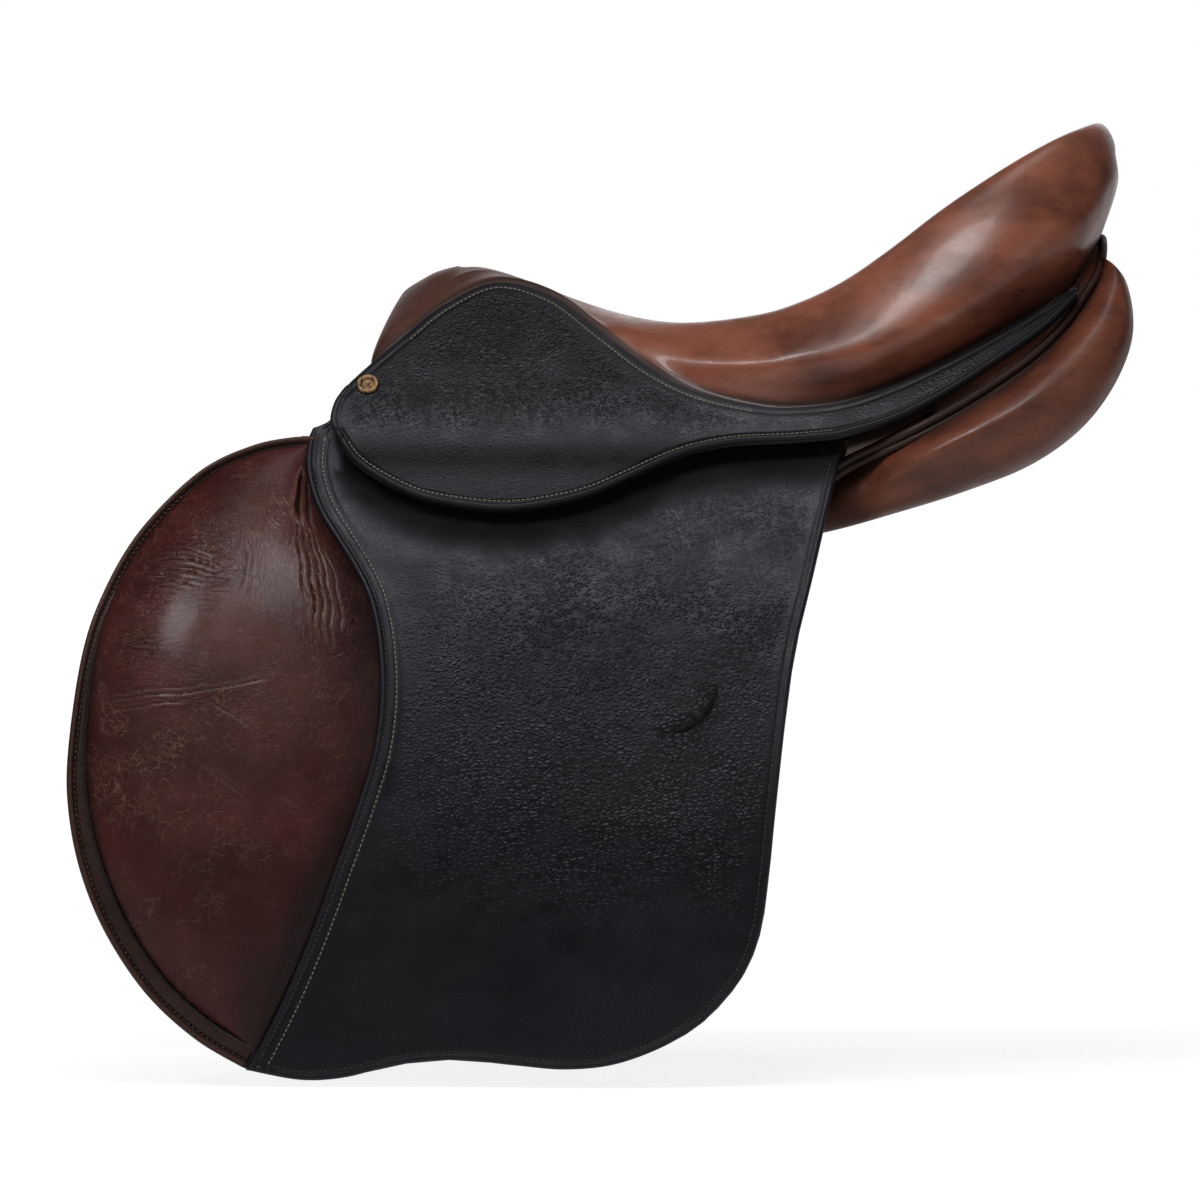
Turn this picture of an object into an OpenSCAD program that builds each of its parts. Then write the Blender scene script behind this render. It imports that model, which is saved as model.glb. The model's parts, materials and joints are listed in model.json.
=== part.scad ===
// Jumping saddle: spring tree, padded seat, skirts, close forward flaps with
// knee pads, wool panels, girth straps and stirrup bars.
// +X runs from pommel to cantle, the left side of the saddle lies at -Y, +Z is up.
// The origin is on the middle plane, in the spine channel under the seat's lowest point.

/* [Seat] */
// Length of the seat leather from pommel to cantle
seat_l = 427; // [410:1:445]
// Width of the seat at its widest
seat_w = 256; // [246:1:266]
// Height of the seat from the waist to the top of the cantle
seat_h = 162; // [154:1:170]
// Thickness of the seat leather with its felt
cover_t = 2.5; // [1.5:0.1:3]

/* [Flap] */
// Length of the flap, knee to rear edge
flap_l = 430; // [410:1:450]
// Depth of the flap below its fold
flap_drop = 356; // [330:1:380]
// Thickness of the black flap leather
flap_t = 3.2; // [2:0.1:4.5]
// Thickness of the flap lining
lining_t = 2.5; // [1.5:0.1:4]
// Height of the knee pad's crown
pad_crown = 17; // [8:0.5:24]
// Width of the rolled edge in front of the knee pad
rim_w = 12; // [8:0.5:16]
// Height of the rolled edge
rim_h = 7; // [3:0.5:10]

/* [Skirt] */
// Length of the skirt, nail to tail
skirt_l = 417; // [405:1:429]
// Height of the skirt above its fold
skirt_rise = 88; // [84:1:92]
// Depth of the skirt's lobe below its fold
lobe_drop = 40; // [30:1:50]
// Thickness of the skirt leather
skirt_t = 4; // [2.5:0.1:5]
// Room for a stirrup leather between flap and skirt
leather_gap = 9.4; // [6:0.1:12]

/* [Panel] */
// Length of the panel
panel_l = 442; // [430:1:454]
// How far the middle of the panel stands from the spine
panel_spread = 84; // [80:1:88]
// Rise of the panel's middle from front to rear
panel_rise = 172; // [164:1:180]
// Half width of the panel at its widest
panel_half_w = 55; // [50:1:58]
// Half thickness of the panel at its thickest
panel_half_t = 33; // [28:1:36]

/* [Horse's side] */
// Radius of the barrel that the sweat flaps lie against
barrel_r = 645; // [625:1:665]
// Half width of the barrel at the girth
girth_half_w = 188; // [183:1:193]
// Angle by which the sides of the saddle close towards the front
toe = 5; // [4:0.1:6]

/* [Tree] */
// Inner radius of the head arch
arch_r = 36; // [33:0.5:39]
// Thickness of the head arch
arch_t = 13; // [10:0.5:14]
// Depth of the head arch, front to rear
arch_depth = 40; // [36:1:44]
// Slope of the head arch, its points forward
arch_tilt = 36; // [34:0.5:38]
// Spread of each tree point from upright
point_spread = 20; // [18:0.5:22]
// Thickness of the wooden side rails
rail_t = 12; // [9:0.5:14]
// Thickness of the steel springs and plates
steel_t = 3; // [2:0.1:4]
// Thickness of the seat webbing
web_t = 2; // [1:0.1:3]

/* [Stirrup bar] */
// Length of the stirrup bar's plate
bar_l = 55; // [48:1:60]
// Radius of the round bar that carries the stirrup leather
rod_r = 3.5; // [3:0.1:4]
// Length of the round bar
rod_l = 38; // [34:1:42]
// Distance from plate to the middle of the round bar
rod_reach = 13.6; // [12:0.1:15]
// Length of the hinged catch
catch_l = 18; // [14:1:22]
// Thickness of the catch's tongue
tongue_t = 3; // [2:0.1:4]
// Radius of the catch pin
pin_r = 1.5; // [1:0.1:1.8]

/* [Girth straps] */
// Width of a girth strap
strap_w = 25; // [20:0.5:28]
// Thickness of a girth strap
strap_t = 4.5; // [3:0.1:5]
// Length of a girth strap
strap_l = 300; // [280:1:310]
// Distance between the middles of neighbouring straps
strap_pitch = 33; // [32:0.5:36]
// Radius of a buckle hole
hole_r = 2.5; // [2:0.1:3]
// Number of buckle holes in a strap
hole_count = 10; // [6:1:11]
// Distance between neighbouring buckle holes
hole_pitch = 22; // [18:0.5:24]
// Height of the buckle guard
guard_h = 60; // [40:1:70]

/* [Nails] */
// Radius of the skirt nail's head
nail_head_r = 6.4; // [4:0.1:8]
// Radius of the nails' shanks
shank_r = 1.5; // [1:0.1:2]

/* [Hidden] */

// Colours of the leathers, wood and metals
seat_brown = "#6b4337";
panel_brown = "#5d3429";
pad_brown = "#42241f";
flap_black = "#2e2d31";
skirt_black = "#303035";
lining_black = "#262428";
beech = "#b98d5a";
steel = "#8d9096";
antique_brass = "#7b6245";
linen = "#c9bfa6";
foam_cream = "#d8cfa6";

// Clearances: between neighbours, under the seat leather, on a pin, in a buckle guard, at the fold
gap = 0.3;
foam_gap = 0.9;
pin_gap = 0.05;
guard_gap = 0.4;
fold_gap = 0.4;
// Clearances between the layers on each side: rail face, bar plate, girth web, flap, seat seam, welt
rail_gap = 2;
plate_gap = 0.4;
web_gap = 0.6;
flap_gap = 3;
seam_gap = 1.5;
welt_gap = 2.4;
// Overrun of cuts
overrun = 1;
// Facets of small round parts and of the wide barrel curves
$fn = 48;
barrel_fn = 720;

// The barrel's axis, and the point about which each side is toed in
barrel_drop = 320;
barrel_y = barrel_r - girth_half_w;
barrel_z = -barrel_drop;
toe_y = 150;
// Length of barrel that every layer is cut from, and how far the cuts reach out
barrel_span = 2 * (flap_l + skirt_l);
side_reach = 2 * girth_half_w;

// Radii of the layers on each side, from the horse outwards
sweat_t = 3;
rail_r = barrel_r + sweat_t + rail_gap;
plate_r = rail_r + plate_gap;
girth_web_t = 2.2;
girth_web_r = rail_r + web_gap;
strap_r = girth_web_r + girth_web_t + gap;
guard_wall = 2.6;
guard_r = strap_r - guard_gap - guard_wall;
guard_out_r = strap_r + strap_t + guard_gap + guard_wall;
lining_r = guard_out_r + flap_gap;
flap_r = lining_r + lining_t + gap;
flap_out_r = flap_r + flap_t;
skirt_r = flap_out_r + leather_gap;
skirt_out_r = skirt_r + skirt_t;
seam_r = skirt_r - seam_gap;

// The fold of skirt and flap, a line along the barrel
fold_z = 36;

// Where the flap and the skirt start at the front
flap_x = -345;
skirt_x = -206;

// Flap outline, in shares of its length and of its depth below the fold
flap_front_shares = [
    [.283, .0], [.225, .028], [.160, .075], [.091, .168], [.047, .261], [.019, .354], [.001, .494],
    [.0035, .587], [.0215, .681], [.055, .774], [.108, .867], [.173, .938], [.240, .985]
];
flap_rear_shares = [
    [.308, 1.0], [.366, .996], [.430, .977], [.508, .968], [.585, .976], [.649, .982], [.713, .974],
    [.778, .945], [.829, .906], [.874, .844], [.899, .774], [.910, .681], [.919, .556], [.936, .354],
    [.959, .215], [.994, .0]
];
// Seam between knee pad and black flap, in the same shares
pad_seam_shares = [
    [.289, .0], [.295, .067], [.317, .129], [.353, .191], [.382, .253], [.397, .323], [.403, .401],
    [.398, .486], [.379, .572], [.353, .665], [.321, .774], [.289, .867], [.257, .945], [.238, .985]
];
// Stretch of the front edge and of the seam that the knee pad fills
pad_front_span_shares = [.10, .93];
pad_seam_span_shares = [.05, .91];

// Skirt outline, in shares of its length and of its rise above or drop below the fold
skirt_front_shares = [[.010, 0], [0, .10], [.003, .216], [.014, .3125]];
seat_edge_shares = [
    [.048, .47], [.089, .643], [.141, .852], [.211, 1.0], [.290, .905], [.357, .682], [.424, .452],
    [.491, .293], [.571, .205], [.626, .191], [.693, .23], [.760, .341], [.839, .523], [.921, .745],
    [.985, .935]
];
tail_shares = [[.996, .961], [.999, .905], [.961, .739], [.894, .523], [.827, .318], [.760, .14], [.686, 0]];
lobe_shares = [
    [.686, 0], [.626, .055], [.544, .10], [.477, .25], [.41, .55], [.357, .785], [.303, .925],
    [.249, .995], [.195, .965], [.128, .84], [.074, .60], [.034, .325], [.010, 0]
];

// Seat: origin, and key points in shares of its length, half width and height, pommel to cantle
seat_x = -182;
seat_z = 52;
medial_shares = [
    [.126, 0, .506], [.129, 0, .506], [.131, 0, .506], [.136, 0, .506], [.145, 0, .505], [.164, 0, .5],
    [.227, 0, .435], [.297, 0, .358], [.368, 0, .312], [.431, 0, .287], [.504, 0, .278], [.553, 0, .29],
    [.607, 0, .318], [.656, 0, .361], [.703, 0, .426], [.749, 0, .506], [.782, 0, .574], [.801, 0, .611],
    [.808, 0, .623]
];
rim_shares = [
    [.080, 0, .475], [.084, .141, .466], [.091, .234, .438], [.094, .281, .420], [.122, .203, .475],
    [.164, .156, .491], [.234, .203, .423], [.302, .328, .340], [.370, .43, .299], [.433, .516, .293],
    [.511, .625, .318], [.562, .6875, .355], [.623, .742, .429], [.684, .766, .537], [.759, .75, .688],
    [.841, .664, .833], [.906, .516, .932], [.951, .281, .985], [.967, 0, 1]
];
bulge_shares = [
    [.0445, 0, .414], [.037, .1875, .370], [.030, .43, .290], [.064, .40, .347], [.105, .3125, .417],
    [.164, .25, .472], [.239, .32, .404], [.304, .477, .309], [.372, .625, .241], [.436, .758, .185],
    [.515, .883, .167], [.567, .945, .179], [.632, .992, .222], [.698, 1, .284], [.780, .969, .401],
    [.871, .867, .568], [.944, .68, .710], [.988, .359, .833], [1, 0, .852]
];
front_seam_shares = [[.040, 0, .333], [.023, .25, .278]];
front_hem_shares = [[.0515, 0, .302], [.0375, .258, .247]];
rear_seam_shares = [[.965, .328, .583], [.974, 0, .605]];
rear_hem_shares = [[.9555, .3125, .562], [.9625, 0, .58]];
// How far towards the rim, and towards its height, the dished middle of the seat has come
dish_share = .55;
dish_rise_share = .27;
// Seam above the skirt's edge, and hem tucked in below it
seam_lift = 2.5;
hem_tuck = 4;
// Stations from pommel to cantle, rows from middle to hem, and the row of the bulge
seat_stations = 28;
seat_rows = 10;
bulge_row = 6;
// Underside of the seat foam along the middle, above the webs on the rails
foam_floor_shares = [.10, .17, .25, .33, .46, .59, .72, .81];
waist_share = .5;
foam_front_lift = 27;
foam_front_x = -95;

// Panel: front end, and stations in shares of its length, spread, rise, half width, half thickness
panel_x = -206;
panel_z = -38;
panel_shares = [
    [0, .62, 0, .364, .18], [.023, .667, .07, .69, .39], [.093, .738, .081, .873, .545],
    [.199, .821, .116, .98, 1], [.330, .821, .186, .945, .94], [.466, .81, .238, .836, .97],
    [.575, .81, .256, .764, .606], [.649, .833, .256, .764, .576], [.722, .94, .302, .909, .64],
    [.808, 1, .383, 1, .71], [.891, 1, .500, 1, .81], [.952, .94, .632, .89, .66],
    [.986, .81, .798, .727, .40], [.997, .70, .878, .49, .22], [.992, .548, .945, .26, .11]
];
// Tilt of each panel station towards the spine, and its lean towards the rear, in degrees
panel_turns = [
    [58, 0], [58, 0], [57, 0], [55, 0], [50, 0], [41, 0], [32, 4], [22, 10], [15, 7], [12, -3],
    [10, -10], [8, -21], [5, -41], [0, -43], [0, -45]
];
panel_stations = 24;
panel_sides = 14;
panel_squareness = 2.6;
// Half width of the spine channel, and the room under the tree points
channel_half_w = 28;
point_end_z = 14;
panel_point_x = -140;
// Stretches of the panel that lie against the sweat flap and under the flap's rear edge
sweat_front_x = -150;
sweat_rear_x = 62;
panel_flap_x = 90;
// Room in which the rails press a panel down, and the slope of that limit behind the rails
panel_press = 3;
panel_rear_slope = 2;

// Welt along the panel's top edge, in shares of its run from flap to cantle
welt_r = 3;
welt_layer_r = flap_out_r + welt_gap;
welt_x = 85;
welt_z = 21;
welt_run = 143;
welt_rise = 112;
welt_shares = [[0, 0], [.217, .14], [.448, .324], [.685, .543], [.826, .725], [.915, .885], [.975, 1.03]];
welt_rear_x = 235.5;
welt_rear_z = 146.5;
welt_rings = 40;
welt_sides = 8;
band_r = flap_out_r + gap;
band_t = 3.5;
band_top_lift = 5;

// Head arch: middle of the arch on its front face
head_x = -186.8;
head_z = 58.4;
point_l = 90;
facing_t = 2.5;
facing_trim = 4;
gullet_lining_t = 2.5;
gullet_depth = 30;
gullet_point_l = 40;
arch_steps = 40;
rivet_r = 2;
rivet_l = 14;
rivet_arc_shares = [.22, .78];

// Side rails, ending in front of the seat's rear; in shares of their length, rise and spread
rail_x = -117;
rail_z = 50;
rail_setback = 146;
rail_l = seat_l - rail_setback;
rail_rise = 35;
rail_spread = 94;
rail_line_shares = [[-.10, .52], [0, .343], [.203, .114], [.416, 0], [.63, .086], [.843, .457], [1, 1]];
rail_inner_shares = [[-.10, .32], [0, .32], [.203, .36], [.416, .425], [.63, .51], [.843, .575], [1, .53]];
rail_outer_shares = [[-.10, .70], [0, .70], [.203, .70], [.416, .85], [.63, .936], [.843, 1], [1, .915]];
rail_cut_x = 75;
// Steel spring under each rail
spring_span_shares = [.06, .94];
spring_inner_shares = [[0, .43], [.416, .49], [.63, .575], [.843, .617], [1, .60]];
spring_w = 12;
// Cantle board
cantle_run = 57;
cantle_rise = 62;
cantle_t = 10;
cantle_in_r = 62;
cantle_out_r = 92;
cantle_back = 30;
// Seat webs across and along the tree
web_w = 45;
web_span = 58;
web_place_shares = [.31, .523, .737];
straining_half_w = 24;
straining_span_shares = [.0, .99];

// Stirrup bar on the left side: front end, height, arm, slot and rivets
bar_x = -115;
bar_z = 66;
bar_h = 18;
arm_l = 10;
rod_lead = 5;
slot_gap = 0.2;
bar_rivet_shares = [.42, .87];
bar_rivet_l = 12;

// Fixed top of the flap, in shares of its run along the fold and its rise
flap_top_x = -224;
flap_top_run = 308;
flap_top_rise = 50;
flap_top_shares = [
    [0, 0], [.0195, .06], [.042, .132], [.081, .332], [.088, .552], [.159, .872], [.208, .992],
    [.321, .992], [.321, .192], [.584, .192], [.584, .832], [.63, .592], [.7435, .272], [.857, .152],
    [.987, .112], [1, 0]
];
flap_nail_shares = [[.169, .752], [.208, .392]];
flap_nail_r = 3.5;
flap_nail_h = 1.2;
flap_nail_l = 36;
skirt_nail_x = -186;
skirt_nail_z = 64.6;
skirt_nail_l = 46;
nail_ring_h = 1.6;
// Half section of the nail's head, in shares of its radius and height
nail_profile_shares = [[0, 0], [1, 0], [1, .5], [.9, 1], [.62, 1], [.52, .6], [.2, .6], [.12, 1], [0, 1]];

// Sweat flap, in shares of its length and of its depth below its top
sweat_x = -262;
sweat_l = 324;
sweat_z = 24;
sweat_drop = 316;
sweat_shares = [
    [.24, .02], [.13, .13], [.04, .32], [0, .52], [.012, .70], [.08, .86], [.20, .95], [.40, .985],
    [.62, .98], [.79, .945], [.88, .88], [.915, .79], [.935, .60], [.965, .30], [1, 0]
];

// Girth straps and the web that they hang from
strap_x = -32;
strap_z = 30;
strap_tip_share = .45;
hole_tip_share = .7;
web_side = 13;
girth_web_z = 2;
girth_web_h = 62;
web_bar_gap = 2;
guard_side = 8;
guard_z = -130;

// Shares of a length
function lerp(a, b, t) = a + (b - a) * t;
function places(shares, start, size) =
    [for (p = shares) [start.x + p.x * size.x, start.y + p.y * size.y]];

// Smooth curve through points, at a share of its run
function catmull(a, b, c, d, t) =
    0.5 * (2 * b + (c - a) * t + (2 * a - 5 * b + 4 * c - d) * t * t + (3 * b - a - 3 * c + d) * t * t * t);
function spline_at(points, s) =
    let (n = len(points) - 1, i = min(floor(s * n), n - 1))
    catmull(points[max(i - 1, 0)], points[i], points[i + 1], points[min(i + 2, n)], s * n - i);
function spline(points, count) = [for (i = [0 : count]) spline_at(points, i / count)];
function spline_part(points, span, count) =
    [for (i = [0 : count]) spline_at(points, lerp(span[0], span[1], i / count))];

// Curve moved sideways in its own plane, to the left of its direction
function unit(v) = v / norm(v);
function beside(curve, distance) =
    let (n = len(curve) - 1)
    [for (i = [0 : n])
        let (t = unit(curve[min(i + 1, n)] - curve[max(i - 1, 0)]))
        curve[i] + distance * [-t.y, t.x]];

// Places on the barrel of the left side, and the turn from that side to the saddle
function side_y(r, z) = barrel_y - sqrt(r * r - pow(z - barrel_z, 2));
function to_saddle(p) = [
    p.x * cos(toe) + (p.y + toe_y) * sin(toe),
    -p.x * sin(toe) + (p.y + toe_y) * cos(toe) - toe_y,
    p.z
];
function to_side(p) = [
    p.x * cos(toe) - (p.y + toe_y) * sin(toe),
    p.x * sin(toe) + (p.y + toe_y) * cos(toe) - toe_y,
    p.z
];
function side_point(x, z, r) = to_saddle([x, side_y(r, z), z]);
function lean_at(z, r) = asin((z - barrel_z) / r);
function mirrored(p) = [p.x, -p.y, p.z];

module left_side() translate([0, -toe_y, 0]) rotate([0, 0, -toe]) translate([0, toe_y, 0]) children();
module right_side() mirror([0, 1, 0]) left_side() children();

// A point on the barrel, with Z out of it and Y up along it
module radial(x, z, r) translate([x, side_y(r, z), z]) rotate([90 - lean_at(z, r), 0, 0]) children();

// Sheet of leather that follows the barrel, cut to an outline in x and z
module barrel_sheet(r, t, outline) intersection() {
    translate([0, barrel_y, barrel_z]) rotate([0, 90, 0]) difference() {
        cylinder(r = r + t, h = barrel_span, center = true, $fn = barrel_fn);
        cylinder(r = r, h = barrel_span + 2 * overrun, center = true, $fn = barrel_fn);
    }
    rotate([90, 0, 0]) linear_extrude(height = side_reach) polygon(outline);
}

// Closed tube of rings, each ring an even number of points
function tube_faces(rings, sides) = concat(
    [for (k = [0 : rings - 2], j = [0 : sides - 1])
        each let (a = k * sides + j, b = k * sides + (j + 1) % sides, c = b + sides, d = a + sides)
            [[a, b, c], [a, c, d]]],
    [for (j = [0 : sides / 2 - 2])
        each let (a = j, b = j + 1, c = sides - 2 - j, d = sides - 1 - j) [[a, c, b], [a, d, c]]],
    [for (j = [0 : sides / 2 - 2])
        each let (e = (rings - 1) * sides, a = e + j, b = a + 1, c = e + sides - 2 - j, d = c + 1)
            [[a, b, c], [a, c, d]]]
);
module tube(rings) polyhedron(
    points = [for (ring = rings) each ring],
    faces = tube_faces(len(rings), len(rings[0]))
);

// Closed purse: a middle line, rings round it, and a middle line again
function middle_index(i, k) = i <= k ? i : 2 * k - i;
function purse_faces(k, rings) =
    let (n = 2 * k, base = k + 1, last = base + rings * n)
    concat(
        [for (i = [0 : n - 1])
            each let (a = middle_index(i, k), b = middle_index(i + 1, k),
                c = base + (i + 1) % n, d = base + i)
                [[a, b, c], [a, c, d]]],
        [for (j = [0 : rings - 2], i = [0 : n - 1])
            each let (a = base + j * n + i, b = base + j * n + (i + 1) % n, c = b + n, d = a + n)
                [[a, b, c], [a, c, d]]],
        [for (i = [0 : n - 1])
            each let (a = base + (rings - 1) * n + i, b = base + (rings - 1) * n + (i + 1) % n,
                      c = last + middle_index(i + 1, k), d = last + middle_index(i, k))
                [[a, b, c], [a, c, d]]]
    );
function whole_ring(grid, row) =
    let (k = len(grid) - 1)
    [for (i = [0 : 2 * k - 1]) i <= k ? grid[i][row] : mirrored(grid[2 * k - i][row])];
module purse(top, rings, bottom) polyhedron(
    points = concat(top, [for (ring = rings) each ring], bottom),
    faces = purse_faces(len(top) - 1, len(rings))
);

// Seat surface: key points of each station, then a grid of stations and rows
function skirt_place(p) = [skirt_x + p.x * skirt_l, fold_z + p.y * skirt_rise];
function seat_point(p) = [seat_x + p.x * seat_l, -p.y * seat_w / 2, seat_z + p.z * seat_h];
seam_points = concat(
    [for (p = front_seam_shares) seat_point(p)],
    [for (p = seat_edge_shares) let (q = skirt_place(p)) side_point(q.x, q.y + seam_lift, seam_r)],
    [for (p = rear_seam_shares) seat_point(p)]
);
hem_points = concat(
    [for (p = front_hem_shares) seat_point(p)],
    [for (p = seat_edge_shares) let (q = skirt_place(p)) side_point(q.x, q.y - hem_tuck, seam_r)],
    [for (p = rear_hem_shares) seat_point(p)]
);
function dish_point(m, r) = [
    lerp(m.x, r.x, dish_share), lerp(m.y, r.y, dish_share), lerp(m.z, r.z, dish_rise_share)
];
seat_keys = [for (k = [0 : len(medial_shares) - 1])
    let (m = seat_point(medial_shares[k]), r = seat_point(rim_shares[k]))
    [m, dish_point(m, r), r, seat_point(bulge_shares[k]), seam_points[k], hem_points[k]]];
seat_lines = [for (row = [0 : len(seat_keys[0]) - 1]) [for (station = seat_keys) station[row]]];
seat_grid = [for (i = [0 : seat_stations])
    let (keys = [for (line = seat_lines) spline_at(line, i / seat_stations)])
    spline(keys, seat_rows)];
function seat_at(i, j) =
    let (k = abs(i), near = k <= seat_stations ? k : 2 * seat_stations - k)
    i < 0 || i > seat_stations ? mirrored(seat_grid[near][j]) : seat_grid[near][j];
function along_seat(i, j) = j == 0
    ? seat_grid[min(i + 1, seat_stations)][0] - seat_grid[max(i - 1, 0)][0]
    : seat_at(i + 1, j) - seat_at(i - 1, j);
function across_seat(i, j) = j == 0
    ? [0, -1, 0]
    : seat_grid[i][min(j + 1, seat_rows)] - seat_grid[i][j - 1];
function seat_inward(i, j) = unit(cross(along_seat(i, j), across_seat(i, j)));
function seat_inside(depth) = [for (i = [0 : seat_stations])
    [for (j = [0 : seat_rows]) seat_grid[i][j] + depth * seat_inward(i, j)]];

module seat_cover() {
    inside = seat_inside(cover_t);
    color(seat_brown) purse(
        [for (station = seat_grid) station[0]],
        concat(
            [for (j = [1 : seat_rows]) whole_ring(seat_grid, j)],
            [for (j = [1 : seat_rows]) whole_ring(inside, seat_rows + 1 - j)]
        ),
        [for (station = inside) station[0]]
    );
}

// Line along the rails, their top, and the foam's underside above the two webs
rail_line = places(rail_line_shares, [rail_x, rail_z], [rail_l, rail_rise]);
rail_curve = spline(rail_line, 4 * (len(rail_line) - 1));
function rail_low(x) = lookup(x, rail_curve);
function web_low(x) = rail_low(x) + rail_t + gap;
function foam_low(x) = web_low(x) + 2 * (web_t + 2 * gap) + (x < foam_front_x
    ? (1 - cos(min(90, 90 * (foam_front_x - x) / foam_front_lift))) * foam_front_lift : 0);

module seat_foam() {
    inside = seat_inside(cover_t + foam_gap);
    floor_line = [for (i = [0 : seat_stations])
        let (x = seat_x + seat_l * spline_at(foam_floor_shares, i / seat_stations)) [x, 0, foam_low(x)]];
    waist = [for (i = [0 : seat_stations]) [lerp(floor_line[i], inside[i][bulge_row], waist_share)]];
    color(foam_cream) purse(
        [for (station = inside) station[0]],
        concat([for (j = [1 : bulge_row]) whole_ring(inside, j)], [whole_ring(waist, 0)]),
        floor_line
    );
}

// Tree head, an arch with two points that slope forward
module at_head() translate([head_x, 0, head_z]) rotate([0, arch_tilt, 0]) rotate([90, 0, 90]) children();
function arc(r, from, to) = [for (i = [0 : arch_steps])
    let (a = lerp(from, to, i / arch_steps)) r * [cos(a), sin(a)]];
module arch_profile(r, t, leg) {
    right_leg = leg * [sin(point_spread), -cos(point_spread)];
    left_leg = [-right_leg.x, right_leg.y];
    outer = arc(r + t, point_spread, 180 - point_spread);
    inner = arc(r, 180 - point_spread, point_spread);
    polygon(concat(
        [outer[0] + right_leg], outer, [outer[arch_steps] + left_leg],
        [inner[0] + left_leg], inner, [inner[arch_steps] + right_leg]
    ));
}
module below_points() {
    wide = 4 * (arch_r + arch_t + point_l);
    translate([head_x - wide / 2, -wide / 2, point_end_z - wide]) cube(wide);
}
module head_slab(front, depth, trim) difference() {
    at_head() translate([0, 0, front]) linear_extrude(height = depth)
        arch_profile(arch_r, arch_t - trim, point_l);
    below_points();
}
module head_rivets(r, front, depth) at_head() {
    for (s = rivet_arc_shares) rotate(180 * s) translate([arch_r + arch_t / 2, 0, front])
        cylinder(r = r, h = depth);
}
plate_front = -gap - steel_t;
facing_front = plate_front - gap - facing_t;

module tree_head() color(beech) difference() {
    head_slab(0, arch_depth, 0);
    head_rivets(rivet_r + pin_gap, -overrun, rivet_l - steel_t + 2 * overrun);
    for (side = [0, 1]) mirror([0, side, 0]) left_side() nail_shanks(shank_r + pin_gap);
}
module head_plate() color(steel) difference() {
    head_slab(plate_front, steel_t, facing_trim);
    head_rivets(rivet_r + pin_gap, plate_front - overrun, steel_t + 2 * overrun);
}
module pommel_facing() color(flap_black) head_slab(facing_front, facing_t, facing_trim);
module gullet_plate() color(steel) difference() {
    at_head() translate([0, 0, arch_depth - gullet_depth]) linear_extrude(height = gullet_depth)
        arch_profile(arch_r - gap - gullet_lining_t, gullet_lining_t, gullet_point_l);
    below_points();
}
module tree_rivets() color(steel) head_rivets(rivet_r, plate_front, rivet_l);

// Side rails, cut off at the head's rear face and faced to the barrel
module behind_head() at_head() translate([-rail_l, -rail_l, arch_depth + gap]) cube(2 * rail_l);
module barrel_core(r, x) translate([x - barrel_span, barrel_y, barrel_z]) rotate([0, 90, 0])
    cylinder(r = r, h = barrel_span, $fn = barrel_fn);
function band_outline(line, low, thick) = concat(
    [for (p = line) [p.x, p.y + low]],
    [for (i = [len(line) - 1 : -1 : 0]) [line[i].x, line[i].y + low + thick]]
);
module upright_band(outline, half_w) rotate([90, 0, 0]) linear_extrude(height = 2 * half_w, center = true)
    polygon(outline);
function plan(shares) = [for (p = shares) [rail_x + p.x * rail_l, -p.y * rail_spread]];
module tree_rail() difference() {
    intersection() {
        upright_band(band_outline(rail_curve, 0, rail_t), rail_spread + overrun);
        linear_extrude(height = rail_l) polygon(concat(
            plan(rail_inner_shares),
            [for (i = [len(rail_outer_shares) - 1 : -1 : 0]) plan(rail_outer_shares)[i]]
        ));
        behind_head();
    }
    left_side() difference() {
        translate([-barrel_span, -side_reach, 0]) cube([barrel_span + rail_cut_x, side_reach, rail_l]);
        barrel_core(rail_r, rail_cut_x + overrun);
    }
    left_side() bar_rivets(rivet_r + pin_gap);
}
module left_tree_rail() color(beech) tree_rail();
module right_tree_rail() color(beech) mirror([0, 1, 0]) tree_rail();

spring_curve = [for (p = rail_curve)
    if (p.x > rail_x + spring_span_shares[0] * rail_l && p.x < rail_x + spring_span_shares[1] * rail_l) p];
module rail_spring() intersection() {
    upright_band(band_outline(spring_curve, -gap - steel_t, steel_t), rail_spread);
    linear_extrude(height = rail_l) polygon(concat(
        plan(spring_inner_shares),
        [for (i = [len(spring_inner_shares) - 1 : -1 : 0]) plan(spring_inner_shares)[i] - [0, spring_w]]
    ));
}
module left_rail_spring() color(steel) rail_spring();
module right_rail_spring() color(steel) mirror([0, 1, 0]) rail_spring();

// Cantle board, a sloping crescent behind the rails
cantle_x = rail_x + rail_l + gap;
cantle_z = rail_z + rail_rise + gap;
module tree_cantle() color(beech) intersection() {
    upright_band([
        [cantle_x, cantle_z], [cantle_x + cantle_run, cantle_z + cantle_rise],
        [cantle_x + cantle_run, cantle_z + cantle_rise + cantle_t], [cantle_x, cantle_z + cantle_t]
    ], cantle_out_r);
    translate([cantle_x - cantle_back, 0, 0]) difference() {
        cylinder(r = cantle_out_r, h = rail_l, $fn = barrel_fn);
        translate([0, 0, -overrun]) cylinder(r = cantle_in_r, h = rail_l + 2 * overrun, $fn = barrel_fn);
    }
}

// Webs over the rails
function web_curve(low_x, high_x) = [for (i = [0 : 8]) let (x = lerp(low_x, high_x, i / 8)) [x, web_low(x)]];
module cross_webs() color(linen) for (s = web_place_shares) {
    x = rail_x + s * rail_l;
    upright_band(band_outline(web_curve(x - web_w / 2, x + web_w / 2), 0, web_t), web_span);
}
module straining_web() color(linen) upright_band(
    band_outline(
        web_curve(rail_x + straining_span_shares[0] * rail_l, rail_x + straining_span_shares[1] * rail_l),
        web_t + gap, web_t
    ),
    straining_half_w
);

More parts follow.
